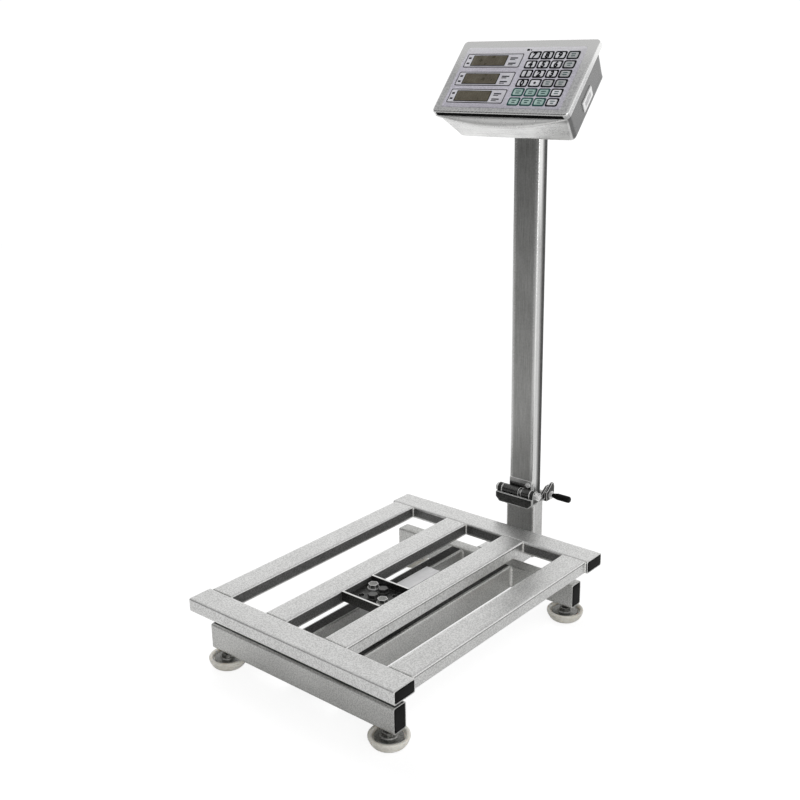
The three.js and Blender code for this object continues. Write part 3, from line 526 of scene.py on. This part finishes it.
# Above 105.8 mm the channel is brightened: a painted highlight on its top.
CHANNEL_STEEL = steel("channel_steel", (0.17, 0.17, 0.165), (0.05, 0.05, 0.05), 0.36, brush=0.2, speckle=0.8,
                      highlight_above=0.106 - 0.0002)
SEAM = steel("ground_seam", (0.80, 0.80, 0.79), (0.34, 0.34, 0.33), 0.42, brush=0.4, speckle=0.9)
WELD = polished("weld_bead", (0.94, 0.94, 0.92), (0.74, 0.73, 0.70), 0.28, metal=0.35)
LIP_STEEL = polished("head_lip_steel", (0.92, 0.92, 0.91), (0.80, 0.80, 0.79), 0.22, metal=0.45)
NUT_STEEL = polished("bright_fixings", (0.92, 0.92, 0.91), (0.70, 0.70, 0.70), 0.18, metal=0.6)
BRIGHT = polished("polished_steel", (0.90, 0.90, 0.89), (0.66, 0.66, 0.66), 0.16)
# The cover steel brightens towards the top of the face: a painted sheen.
COVER_STEEL = steel("head_cover_steel", (0.80, 0.80, 0.80), (0.46, 0.46, 0.465), 0.34, along=0, brush=0.35, speckle=0.9,
                    sheen_band=(0.785, 0.835, 0.95))
TRAY_STEEL = polished("head_tray_steel", (0.84, 0.84, 0.83), (0.60, 0.60, 0.60), 0.22)
# Bright steel for arris rods and bevels: a painted highlight.
ARRIS_HIGHLIGHT = polished("painted_arris_highlight", (0.92, 0.92, 0.91), (0.62, 0.62, 0.61), 0.25, metal=0.25)
ALUMINIUM = polished("milled_aluminium", (0.91, 0.91, 0.91), (0.72, 0.72, 0.73), 0.34, along=1)
BLACK = plastic("black_plastic", (0.010, 0.010, 0.010), (0.003, 0.003, 0.003), 0.55, gloss=0.12)
# Near-black plastic for the strip of painted shadow under the face's front edge.
PAINTED_SHADOW = plastic("painted_shadow_strip", (0.006, 0.006, 0.006), (0.002, 0.002, 0.002), 0.7, gloss=0.05)
SHEATH = plastic("cable_sheath", (0.035, 0.035, 0.036), (0.015, 0.015, 0.015), 0.45, gloss=0.3)
RUBBER = plastic("pale_rubber", (0.84, 0.82, 0.76), (0.64, 0.62, 0.56), 0.30, grain=500.0, subsurface=0.35)
# The film brightens towards the top of the face: a painted sheen.
FILM_PRINT = steel("keypad_film", (0.74, 0.72, 0.80), (0.50, 0.48, 0.55), 0.38, brush=0.2, speckle=0.7, metal=0.55,
                   sheen_band=(0.795, 0.845, 0.6))
KEY_LIGHT = plastic("key_light", (0.74, 0.74, 0.77), (0.58, 0.58, 0.61), 0.4, grain=600.0, depth=0.00003, gloss=0.3)
KEY_TEAL = plastic("key_teal", (0.42, 0.56, 0.52), (0.29, 0.43, 0.40), 0.4, grain=600.0, depth=0.00003, gloss=0.3)
KEY_GREY = plastic("key_grey", (0.52, 0.53, 0.54), (0.38, 0.39, 0.40), 0.4, grain=600.0, depth=0.00003, gloss=0.3)
INK = plastic("print_ink", (0.012, 0.012, 0.015), (0.004, 0.004, 0.006), 0.6, grain=400.0, gloss=0.1)
INK_TEAL = plastic("print_ink_teal", (0.035, 0.10, 0.095), (0.015, 0.055, 0.05), 0.6, grain=400.0, gloss=0.1)
LABEL = plastic("label_print", (0.72, 0.71, 0.75), (0.56, 0.55, 0.60), 0.45, grain=500.0, gloss=0.3)
LCD = plastic("display_lcd", (0.125, 0.110, 0.074), (0.080, 0.068, 0.044), 0.3, grain=90.0, depth=0.00001, gloss=0.3)
SEGMENT = plastic("display_segment", (0.085, 0.070, 0.048), (0.060, 0.050, 0.034), 0.3, grain=90.0, gloss=0.3)
BOARD = plastic("circuit_board", (0.06, 0.24, 0.12), (0.03, 0.15, 0.07), 0.4)
GREY = plastic("grey_plastic", (0.16, 0.16, 0.165), (0.09, 0.09, 0.095), 0.42, gloss=0.3)
BEZEL = plastic("switch_bezel", (0.95, 0.95, 0.95), (0.86, 0.86, 0.86), 0.35)
ROCKER = plastic("switch_key", (0.62, 0.62, 0.63), (0.50, 0.50, 0.51), 0.35)

# ---- Platform and base -----------------------------------------------------------------------------
SLATS = [f"platform_slat_{number}" for number in range(1, 5)]
BEAMS = ["base_beam_left", "base_beam_right"]
PLACES = [(row, side, sign) for row in ("front", "rear") for side, sign in (("left", -1), ("right", 1))]
tube("platform_front_tube", SATIN[X], X)
# The rear tube's inner face is darkened as painted shade.
tube("platform_rear_tube", SATIN[X], X, faces=((Y, -1, 0.8),))
# The base front tube's top face is darkened as painted shadow under the platform tube.
tube("base_front_tube", BASE_STEEL, X, faces=((Z, 1, 0.95),))
tube("base_rear_tube", BASE_STEEL, X)
# Slats 1 and 2 have their right faces darkened as painted shade; every slat gets a dark line of painted shade under its
# top right arris.
for slat, side_shade in zip(SLATS, (0.8, 0.8, 0.0, 0.0)):
    tube(slat, SATIN[Y], Y, faces=((X, 1, side_shade),), line=(X, 1))
# The beams' top faces are darkened as painted shade.
for beam in BEAMS:
    tube(beam, BEAM_STEEL, Y, faces=((Z, 1, 0.95),))
tube("post_arm", SATIN[Y], Y)
# The stub's front face is darkened as painted shade.
tube("post_stub", STUB_STEEL, Z, wall=STUB_WALL, faces=((Y, -1, 0.5),))
for row, side, sign in PLACES:
    end_plug(f"platform_cap_{row}_{side}", sign, PLATFORM_TUBE)
    end_plug(f"base_cap_{row}_{side}", sign, BASE_TUBE)

beads = []
for bars, low_z, high_z, radius in ((SLATS, 87.0, 105.2, 1.5), (BEAMS, 27.5, 62.5, 3.0)):
    for bar in bars:
        low, high = box_mm(bar)
        for y in (low[1], high[1]):
            for x in (low[0], high[0]):
                beads.append(bead((x, y, low_z), high_z, radius, phase=0.37 * len(beads)))
piece("weld_beads", merged(beads), WELD, "frame", sharp=60)


def seam_shape(left, right, y):
    """A ground seam: a flat block 2 mm wide, let into the platform's top and a hundredth proud of it."""
    corners = ((left, y - 1.0), (right, y - 1.0), (right, y + 1.0), (left, y + 1.0))
    return loft([[(*corner, z) for corner in corners] for z in (PLATFORM_TOP - 2.0, PLATFORM_TOP + 0.01)], cap_ends=True)


slat_boxes = [box_mm(slat) for slat in SLATS]
seams = [seam_shape(low[0] + 2.4, high[0] - 2.4, y) for low, high in slat_boxes for y in (low[1], high[1])]
piece("ground_seams", merged(seams), SEAM, "frame")


def foot_shapes(x, y):
    """A levelling foot's cup and its stud, both turned: the cup is a bowl with two shallow grooves round its side, and
    the stud's thread is a zigzag of radius with height."""
    cup = [(0.0, 0.0), (17.5, 0.0), (19.0, 0.5), (20.5, 1.2), (22.0, 2.4), (23.4, 4.0), (24.3, 5.4), (24.0, 5.9),
           (24.9, 6.4), (25.9, 8.4), (26.6, 10.2), (26.3, 10.7), (27.1, 11.2), (27.5, 13.2), (27.3, 14.8), (26.6, 15.7),
           (25.5, 16.0), (23.6, 15.8), (22.4, 14.8), (21.8, 12.6), (21.3, 10.3), (20.6, 10.0), (0.0, 10.0)]
    crest, root = 4.9, 4.25
    threads = np.linspace(16.2, 37.6, 33)
    stud = [(0.0, 10.3), (18.6, 10.3), (19.4, 10.9), (19.4, 12.6), (18.8, 13.2), (12.0, 13.6), (10.6, 15.2), (6.2, 15.6),
            (crest, 16.0)]
    stud += [(crest if i % 2 else root, z) for i, z in enumerate(threads)] + [(3.2, 38.0), (0.0, 38.0)]
    move = np.array([x, y, 0.0])
    angle = np.arange(6) * math.pi / 3
    rows = [np.stack([r * np.cos(angle), r * np.sin(angle), np.full(6, z)], 1)
            for r, z in ((8.6, 13.3), (9.5, 13.9), (9.5, 19.4), (8.7, 20.2), (4.0, 20.3))]
    nut = loft(rows, cap_ends=True)
    cup_points, cup_faces = turned(cup, 64)
    stud_points, stud_faces = merged([turned(stud, 32), nut])
    return (cup_points + move, cup_faces), (stud_points + move, stud_faces)


for row, side, sign in PLACES:
    low, high = box_mm(f"foot_cup_{row}_{side}")
    cup, stud = foot_shapes(*((low + high) / 2)[:2])
    body = f"foot_{row}_{side}"
    cup_node, stud_node = f"foot_cup_{row}_{side}", f"foot_stud_{row}_{side}"
    piece(f"{cup_node}.finished", cup, RUBBER, body, sharp=50, stands_for=(cup_node,))
    piece(f"{stud_node}.finished", stud, FOOT_STEEL, body, stands_for=(stud_node,))

# ---- Load cell, hinge, clamp -----------------------------------------------------------------------
# The channel's bevels take the bright arris material: a painted highlight.
dressed("load_cell_channel", CHANNEL_STEEL, 0.4, arris=ARRIS_HIGHLIGHT)
dressed("load_cell_spacer", DARK_STEEL, 0.3)
dressed("load_cell", ALUMINIUM, 0.5)
dressed("load_cell_base_plate", SATIN[Y], 0.5)
for number in (1, 2):
    dressed(f"channel_bolt_{number}", FOOT_STEEL, 0.4)
    dressed(f"cell_bolt_upper_{number}", DARK_STEEL, 0.4)
    dressed(f"cell_bolt_lower_{number}", BRIGHT, 0.4)
dressed("hinge_lower_bracket", BRACKET_STEEL, 0.0)
dressed("hinge_upper_bracket", UPPER_STEEL, 0.0)
# Bright rods along the brackets' and bolts' edges: painted highlights.
arrises("hinge_lower_arrises", ("hinge_lower_bracket",))
arrises("hinge_upper_arrises", ("hinge_upper_bracket",))
arrises("channel_bolt_arrises", ("channel_bolt_1", "channel_bolt_2"))
for node in ("hinge_pin", "hinge_pin_nut", "hinge_leaf_bolt", "clamp_screw"):
    dressed(node, NUT_STEEL, 0.4)
dressed("clamp_grip", BLACK, 0.4)
dressed("signal_cable_base", SHEATH, 0.0, sharp=70)
dressed("signal_cable_post", SHEATH, 0.0, sharp=70)


def mitred_post():
    """The post: the tube section swept upright, each point of its top ring lowered to the slope of the head's
    underside.
    Its right flat has a painted highlight by the front corner and painted shade by the back one."""
    low, high = box_mm("post_tube")
    (points, faces), edge = tube_shape(low, high, Z, TUBE_WALL, TUBE_CORNER, blend=5.0)
    shade = np.zeros(len(points))
    aside = points[:, 0] > high[0] - TUBE_CORNER
    ahead = points[:, 1] < (low[1] + high[1]) / 2
    edge = np.where(aside & ahead, 1.0, np.where(aside, 0.0, edge))
    shade[aside & ~ahead] = 0.85
    upper = points[:, 2] > (low[2] + high[2]) / 2
    drop = (high[1] - points[upper, 1]) * math.tan(HEAD_TILT)
    points[upper, 2] -= drop
    return (points, faces), edge, shade


shape, edge, shade = mitred_post()
piece("post_tube.finished", shape, POST_STEEL, "post", edge, stands_for=("post_tube",), shade=shade)
dressed("head_plate", SATIN[Y], 0.4)


# ---- Head ------------------------------------------------------------------------------------------
def face_ring(inset, z, corner=FACE["corner"]):
    """The face's outline, a rounded rectangle, brought in by an inset, at one height."""
    width = 2 * FACE["half"] - 2 * inset
    length = FACE["length"] + 1.0 - 2 * inset
    outline, _ = section(width, length, max(corner - inset * 0.6, 1.0), 8, blend=2.0)
    return np.column_stack([outline[:, 0], outline[:, 1] + (FACE["length"] - 1.0) / 2, np.full(len(outline), z)])


def cover_shape():
    """The cover: flat face, then a quarter-round edge, then the skirt, then back up inside it."""
    radius = FACE["edge"]
    rows = [face_ring(60.0, 0.0, 4.0), face_ring(30.0, 0.0, 5.0), face_ring(12.0, 0.0), face_ring(radius + 1.2, 0.0)]
    # The edge values give a painted highlight along the rounded edge and round the skirt's foot.
    values = [0.0, 0.0, 0.0, 0.0]
    for angle in np.linspace(0.0, math.pi / 2, 7):
        rows.append(face_ring(radius * (1 - math.sin(angle)), -radius * (1 - math.cos(angle))))
        values.append(1.0 if 0.2 < angle < 1.4 else 0.35)
    for z, value in ((-radius - 1.4, 0.0), (-FACE["skirt"] + 1.6, 0.0), (-FACE["skirt"] + 0.4, 0.9)):
        rows.append(face_ring(0.0, z))
        values.append(value)
    rows.append(face_ring(0.5, -FACE["skirt"]))
    rows.append(face_ring(FACE["sheet"], -FACE["skirt"]))
    rows.append(face_ring(FACE["sheet"], -5.0))
    values += [0.8, 0.2, 0.0]
    points, faces = loft(np.array(rows), cap_ends=True)
    edge = np.concatenate([np.repeat(values, len(rows[0])), [0.0, 0.0]])
    return (points, faces), edge


shape, edge = cover_shape()
piece("head_cover.finished", in_head(shape), COVER_STEEL, "post", edge, stands_for=("head_cover",))


def lip_shape():
    """The bowed lip under the face's front edge. Across the head, t runs from -1 to 1 and the lip stands forward by
    reach x (1 - t^2); down the lip, its section is a quarter turn from the skirt's front out and down, then back."""
    t = np.linspace(-1.0, 1.0, 65)
    bow = 1.0 - t ** 2
    rows = []
    # These shade values make the lip's lower curve dark: a line of painted shade.
    under = np.array([0.0, 0.0, 0.0, 0.0, 0.1, 0.95, 1.0, 1.0])
    quarter_turn = ((0.0, 0.0), (0.45, 0.05), (0.8, 0.2), (0.97, 0.45), (1.0, 0.7), (0.93, 0.92), (0.7, 1.0), (0.0, 1.0))
    for share, fall in quarter_turn:
        forward = -1.0 - LIP["reach"] * bow * share
        depth = -LIP["start"] - LIP["drop"] * (0.25 + 0.75 * bow) * fall
        rows.append(np.column_stack([t * (FACE["half"] - 3.0), forward, depth]))
    rows = np.array(rows).transpose(1, 0, 2)
    return loft(rows, cap_ends=True), np.concatenate([np.tile(under, len(t)), [0.0, 0.0]])


shape, shade = lip_shape()
piece("head_lip", in_head(shape), LIP_STEEL, "post", sharp=40, shade=shade)
# A near-black strip under the face's front edge: painted shadow.
shadow_strip = plate_shape(-FACE["half"] + 7.0, FACE["half"] - 7.0, -1.35, 3.0, -LIP["start"] - 0.2, -FACE["edge"] + 0.9, 1.0,
                     soft=0.1)
piece("head_painted_shadow", in_head(shadow_strip), PAINTED_SHADOW, "post")


def tray_shape():
    """The tray: rounded rectangles that shrink from the rim to the floor, with a rolled edge where the wall turns in."""
    rows, shade = [], []
    fall = ((0.0, -6.0), (0.0, -10.4), (0.0, -11.5), (0.14, -18.0), (0.27, -24.0), (0.56, -38.0), (0.86, -52.0),
            (0.96, -57.5), (1.0, -60.5), (1.12, -62.3), (1.32, -TRAY["depth"]), (2.4, -TRAY["depth"]))
    for share, z in fall:
        half = TRAY["rim"] - (TRAY["rim"] - TRAY["floor"] - 3.0) * share
        front = TRAY["front"] + 1.5 * share
        back = TRAY["back"] - 2.0 * share
        outline, _ = section(2 * half, back - front, TRAY["corner"], 8, blend=2.0)
        rows.append(np.column_stack([outline[:, 0], outline[:, 1] + (front + back) / 2, np.full(len(outline), z)]))
        # Painted shade: the side walls dark, and the front and back walls darker in their top 20 mm, under the lip and
        # cover.
        aside = np.abs(outline[:, 0]) > half - 0.3 * TRAY["corner"]
        shade.append(np.where(aside, 0.92, 0.6 if z > -20.0 else 0.0))
    return loft(np.array(rows), cap_ends=True), np.concatenate(shade + [[0.0, 0.0]])


shape, shade = tray_shape()
piece("head_tray.finished", in_head(shape), TRAY_STEEL, "post", stands_for=("head_tray",), shade=shade)

film = plate_shape(FILM["left"], FILM["right"], FILM["front"], FILM["back"], 0.0, FILM["top"] * 0.6, 4.0, soft=0.2)
piece("keypad_overlay.finished", in_head(film), FILM_PRINT, "post", stands_for=("keypad_overlay",))

TOP = FILM["top"] * 0.6
keys = {"light": [], "teal": [], "grey": []}
rims = {"dark": [], "teal": []}
for row in range(KEYS["rows"]):
    for column in range(KEYS["columns"]):
        x = KEYS["left"] + column * KEYS["pitch_x"]
        y = KEYS["front"] + row * KEYS["pitch_y"]
        if row < 2:
            kind = "teal" if column < 3 else "light"
        elif row == 2:
            kind = "light" if column < 2 else "grey"
        else:
            kind = "light" if column < 3 else "grey"
        rims["teal" if kind == "teal" else "dark"].append(
            plate_shape(x - 0.5, x + KEYS["width"] + 0.5, y - 0.5, y + KEYS["height"] + 0.5, TOP - 0.1, TOP + 0.18, 3.0,
                        soft=0.1))
        keys[kind].append(plate_shape(x + 2.1, x + KEYS["width"] - 2.1, y + 1.9, y + KEYS["height"] - 1.9, TOP,
                                      TOP + 0.4, 2.0, soft=0.2, crown=0.15))
for kind, material in (("light", KEY_LIGHT), ("teal", KEY_TEAL), ("grey", KEY_GREY)):
    piece(f"keys_{kind}", in_head(merged(keys[kind])), material, "post")
for kind, material in (("dark", INK), ("teal", INK_TEAL)):
    piece(f"key_outlines_{kind}", in_head(merged(rims[kind])), material, "post")


def glyph(text, size):
    """A character as a flat mesh with a little thickness, its middle at the origin, in millimetres."""
    curve = bpy.data.curves.new("glyph", "FONT")
    curve.body = text
    curve.size = size
    curve.extrude = 0.06
    curve.offset = 0.7
    curve.resolution_u = 3
    holder = bpy.data.objects.new("glyph", curve)
    bpy.context.scene.collection.objects.link(holder)
    mesh = bpy.data.meshes.new_from_object(holder)
    points = np.array([v.co for v in mesh.vertices], float)
    faces = [list(p.vertices) for p in mesh.polygons]
    bpy.data.objects.remove(holder)
    bpy.data.curves.remove(curve)
    bpy.data.meshes.remove(mesh)
    middle = (points.min(0) + points.max(0)) / 2
    return points - np.array([middle[0], middle[1], 0.0]), faces


digits = []
for row, text in ((5, "789"), (4, "456"), (3, "123"), (2, "0.")):
    for column, character in enumerate(text):
        points, faces = glyph(character, 13.0 if character != "." else 22.0)
        x = KEYS["left"] + column * KEYS["pitch_x"] + KEYS["width"] / 2
        y = KEYS["front"] + row * KEYS["pitch_y"] + KEYS["height"] / 2
        digits.append((points + np.array([x, y, TOP + 0.62]), faces))
piece("key_digits", in_head(merged(digits)), INK, "post")

marks = []
for row in range(KEYS["rows"]):
    for column in range(KEYS["columns"]):
        if row >= 3 and column < 3 or row == 2 and column < 2:
            continue
        x = KEYS["left"] + column * KEYS["pitch_x"] + KEYS["width"] / 2
        y = KEYS["front"] + row * KEYS["pitch_y"] + KEYS["height"] / 2
        for line, half in ((1.7, 3.6 + 0.6 * ((row + column) % 2)), (-1.7, 2.8 + 0.7 * (row % 2))):
            marks.append(plate_shape(x - half, x + half, y + line - 0.75, y + line + 0.75, TOP + 0.3, TOP + 0.62, 0.5,
                                     soft=0.05))
piece("key_marks", in_head(merged(marks)), INK_TEAL, "post")

# The seven bars of a digit: their corner, width and height.
DIGIT_BARS = ((0.9, 0.0, 4.2, 0.9), (0.9, 5.3, 4.2, 0.9), (0.9, 10.6, 4.2, 0.9), (0.0, 0.9, 0.9, 4.3), (5.1, 0.9, 0.9, 4.3),
              (0.0, 6.3, 0.9, 4.3), (5.1, 6.3, 0.9, 4.3))
frames, labels, lines, segments = [], [], [], []
for number, front in enumerate(WINDOWS["fronts"], 1):
    left, right = WINDOWS["left"], WINDOWS["left"] + WINDOWS["width"]
    back = front + WINDOWS["height"]
    frames.append(rim_shape(left, right, front, back, 1.1, TOP - 0.1, TOP + 0.25, 2.2))
    labels.append(plate_shape(left + 1.1, right - 1.1, front + 1.1, back - 1.1, TOP - 0.1, TOP + 0.12, 1.5, soft=0.05))
    glass_left, glass_front = GLASS["left"], front + GLASS["inset"] - 1.2
    glass_back = glass_front + GLASS["height"] + 2.4
    screen = plate_shape(glass_left, glass_left + GLASS["width"], glass_front, glass_back, TOP - 0.1, TOP + 0.35, 0.8,
                         soft=0.1)
    piece(f"display_{number}.finished", in_head(screen), LCD, "post", stands_for=(f"display_{number}",))
    frames.append(rim_shape(glass_left - 0.5, glass_left + GLASS["width"] + 0.5, glass_front - 0.5, glass_back + 0.5,
                            1.0, TOP, TOP + 0.45, 1.0))
    for place in (0.3, 0.68):
        y = front + WINDOWS["height"] * place
        lines.append(plate_shape(left + 3.6, left + 8.6, y - 1.3, y + 1.6, TOP, TOP + 0.2, 0.5, soft=0.05))
        lines.append(plate_shape(right - 21.0, right - 8.0, y - 1.0, y + 1.1, TOP, TOP + 0.2, 0.5, soft=0.05))
        lines.append(plate_shape(right - 21.0, right - 12.0, y - 3.4, y - 2.0, TOP, TOP + 0.2, 0.4, soft=0.05))
    for digit in range(6):
        x0 = glass_left + 5.0 + digit * 9.0
        y0 = glass_front + 3.2
        for dx, dy, across, tall in DIGIT_BARS:
            segments.append(plate_shape(x0 + dx, x0 + dx + across, y0 + dy, y0 + dy + tall, TOP + 0.2, TOP + 0.38, 0.35,
                                        soft=0.02))
piece("window_frames", in_head(merged(frames)), INK, "post")
piece("window_labels", in_head(merged(labels)), LABEL, "post")
piece("window_lines", in_head(merged(lines)), INK, "post")
piece("display_segments", in_head(merged(segments)), SEGMENT, "post")
badge = [plate_shape(4.0, 8.6, 108.2, 111.6, TOP, TOP + 0.2, 0.6, soft=0.05),
         plate_shape(10.2, 12.4, 108.6, 110.6, TOP, TOP + 0.2, 0.6, soft=0.05)]
piece("film_marks", in_head(merged(badge)), INK, "post")

for node, material in (("main_board", BOARD), ("battery", GREY)):
    frame["nodes"][node].data.materials.clear()
    frame["nodes"][node].data.materials.append(material)
dressed("charge_socket", BLACK, 0.3)
dressed("switch_body", BEZEL, 0.4)
dressed("switch_rocker", ROCKER, 0.4)

# ---- Stage: floor, light, camera -------------------------------------------------------------------
FLOOR_RADIUS = 4.0      # metres, as are all the stage's places
FLOOR_SIDES = 96


def floor_disc():
    """A round of pale paper. What the metal mirrors of it is a painted reflection, lighter or darker by direction from
    its middle.
    """
    angle = np.linspace(0.0, 2 * math.pi, FLOOR_SIDES, endpoint=False)
    rim = np.stack([np.cos(angle), np.sin(angle), np.zeros(FLOOR_SIDES)], 1) * FLOOR_RADIUS
    mesh = bpy.data.meshes.new("floor")
    faces = [[0, i + 1, (i + 1) % FLOOR_SIDES + 1] for i in range(FLOOR_SIDES)]
    mesh.from_pydata(np.vstack([[0.0, 0.0, 0.0], rim]), [], faces)
    made = bpy.data.objects.new("floor", mesh)
    bpy.context.scene.collection.objects.link(made)
    material = bpy.data.materials.new("floor_paper")
    material.use_nodes = True
    sheet = Sheet(material.node_tree)
    at = sheet.node("ShaderNodeSeparateXYZ", inputs={0: sheet.place()})
    x, y = (Wire(sheet, at.socket.node.outputs[axis]) for axis in "XY")

    def lobe(toward_x, toward_y, low, high):
        return (toward_x * x + toward_y * y).step(low, high)

    level = 0.70 + 0.55 * lobe(0.85, -0.53, 0.5, 1.2) + 0.58 * lobe(-0.75, 0.66, 0.35, 0.9)
    level = level + 0.4 * lobe(0.62, 0.78, 1.6, 2.3) - 0.16 * lobe(-0.65, -0.75, 0.45, 1.1)
    level = level - 0.8 * lobe(-0.5, 0.86, 0.95, 1.4)
    seen_in_metal = sheet.mix(level.step(0.0, 1.0), colour(0.06), colour(0.98))
    rays = sheet.node("ShaderNodeLightPath", output="Is Glossy Ray")
    paper = sheet.node("ShaderNodeBsdfDiffuse", inputs={"Color": sheet.mix(rays, colour(0.93), seen_in_metal)})
    white = sheet.node("ShaderNodeEmission", inputs={"Color": colour(1.0), "Strength": 1.18})
    direct = sheet.node("ShaderNodeLightPath", output="Is Camera Ray") * 0.72
    surface = sheet.node("ShaderNodeMixShader", inputs={0: direct, 1: paper, 2: white})
    sheet.node("ShaderNodeOutputMaterial", inputs={"Surface": surface})
    mesh.materials.append(material)


floor_disc()

world = bpy.data.worlds.new("studio")
bpy.context.scene.world = world
world.use_nodes = True
sky = Sheet(world.node_tree)
split = sky.node("ShaderNodeSeparateXYZ", inputs={0: sky.node("ShaderNodeTexCoord", output="Generated")}).socket.node
east, north, up = (Wire(sky, split.outputs[axis]) for axis in "XYZ")
wall = (0.35 * east + 0.9 * north).step(-0.9, 0.4)
sides = 0.14 + 0.86 * wall
roof = up.step(0.3, 0.7)
dome = sides * (1.0 - roof) + roof * 0.55
through_lens = sky.node("ShaderNodeLightPath", output="Is Camera Ray")
level = through_lens * 1.05 + (1.0 - through_lens) * dome
light = sky.node("ShaderNodeBackground", inputs={"Color": colour(1.0), "Strength": level})
sky.node("ShaderNodeOutputWorld", inputs={"Surface": light})


def softbox(name, place, aim, width, height, power, mirrored=True):
    """An area light at a place, turned to face a point."""
    lamp = bpy.data.lights.new(name, "AREA")
    lamp.shape = "RECTANGLE"
    lamp.size, lamp.size_y, lamp.energy = width, height, power
    holder = bpy.data.objects.new(name, lamp)
    bpy.context.scene.collection.objects.link(holder)
    back = np.array(place, float) - np.array(aim, float)
    back /= np.linalg.norm(back)
    right = np.cross((0.0, 0.0, 1.0), back)
    right /= np.linalg.norm(right)
    over = np.cross(back, right)
    holder.visible_glossy = mirrored
    holder.matrix_world = Matrix([[right[i], over[i], back[i], place[i]] for i in range(3)] + [[0, 0, 0, 1]])


softbox("key_softbox", (-1.3, 0.6, 2.3), (0.0, 0.0, 0.3), 1.6, 1.2, 30.0, mirrored=False)
softbox("side_softbox", (1.9, -1.2, 0.9), (0.0, 0.1, 0.4), 0.5, 1.6, 9.0)

# The camera's own axes and its place.
RIGHT = (0.76353585, 0.64550875, -0.018206)
UP = (-0.18513986, 0.24582681, 0.95146856)
FORWARD = (-0.6186568, 0.7231097, -0.30720698)
EYE = (0.94505, -1.15662, 0.84125)
lens = bpy.data.cameras.new("camera")
lens.lens = 49.866
lens.sensor_width = 36.0
camera = bpy.data.objects.new("camera", lens)
bpy.context.scene.collection.objects.link(camera)
camera.matrix_world = Matrix([[RIGHT[i], UP[i], -FORWARD[i], EYE[i]] for i in range(3)] + [[0, 0, 0, 1]])
bpy.context.scene.camera = camera
bpy.context.scene.view_settings.view_transform = "Standard"
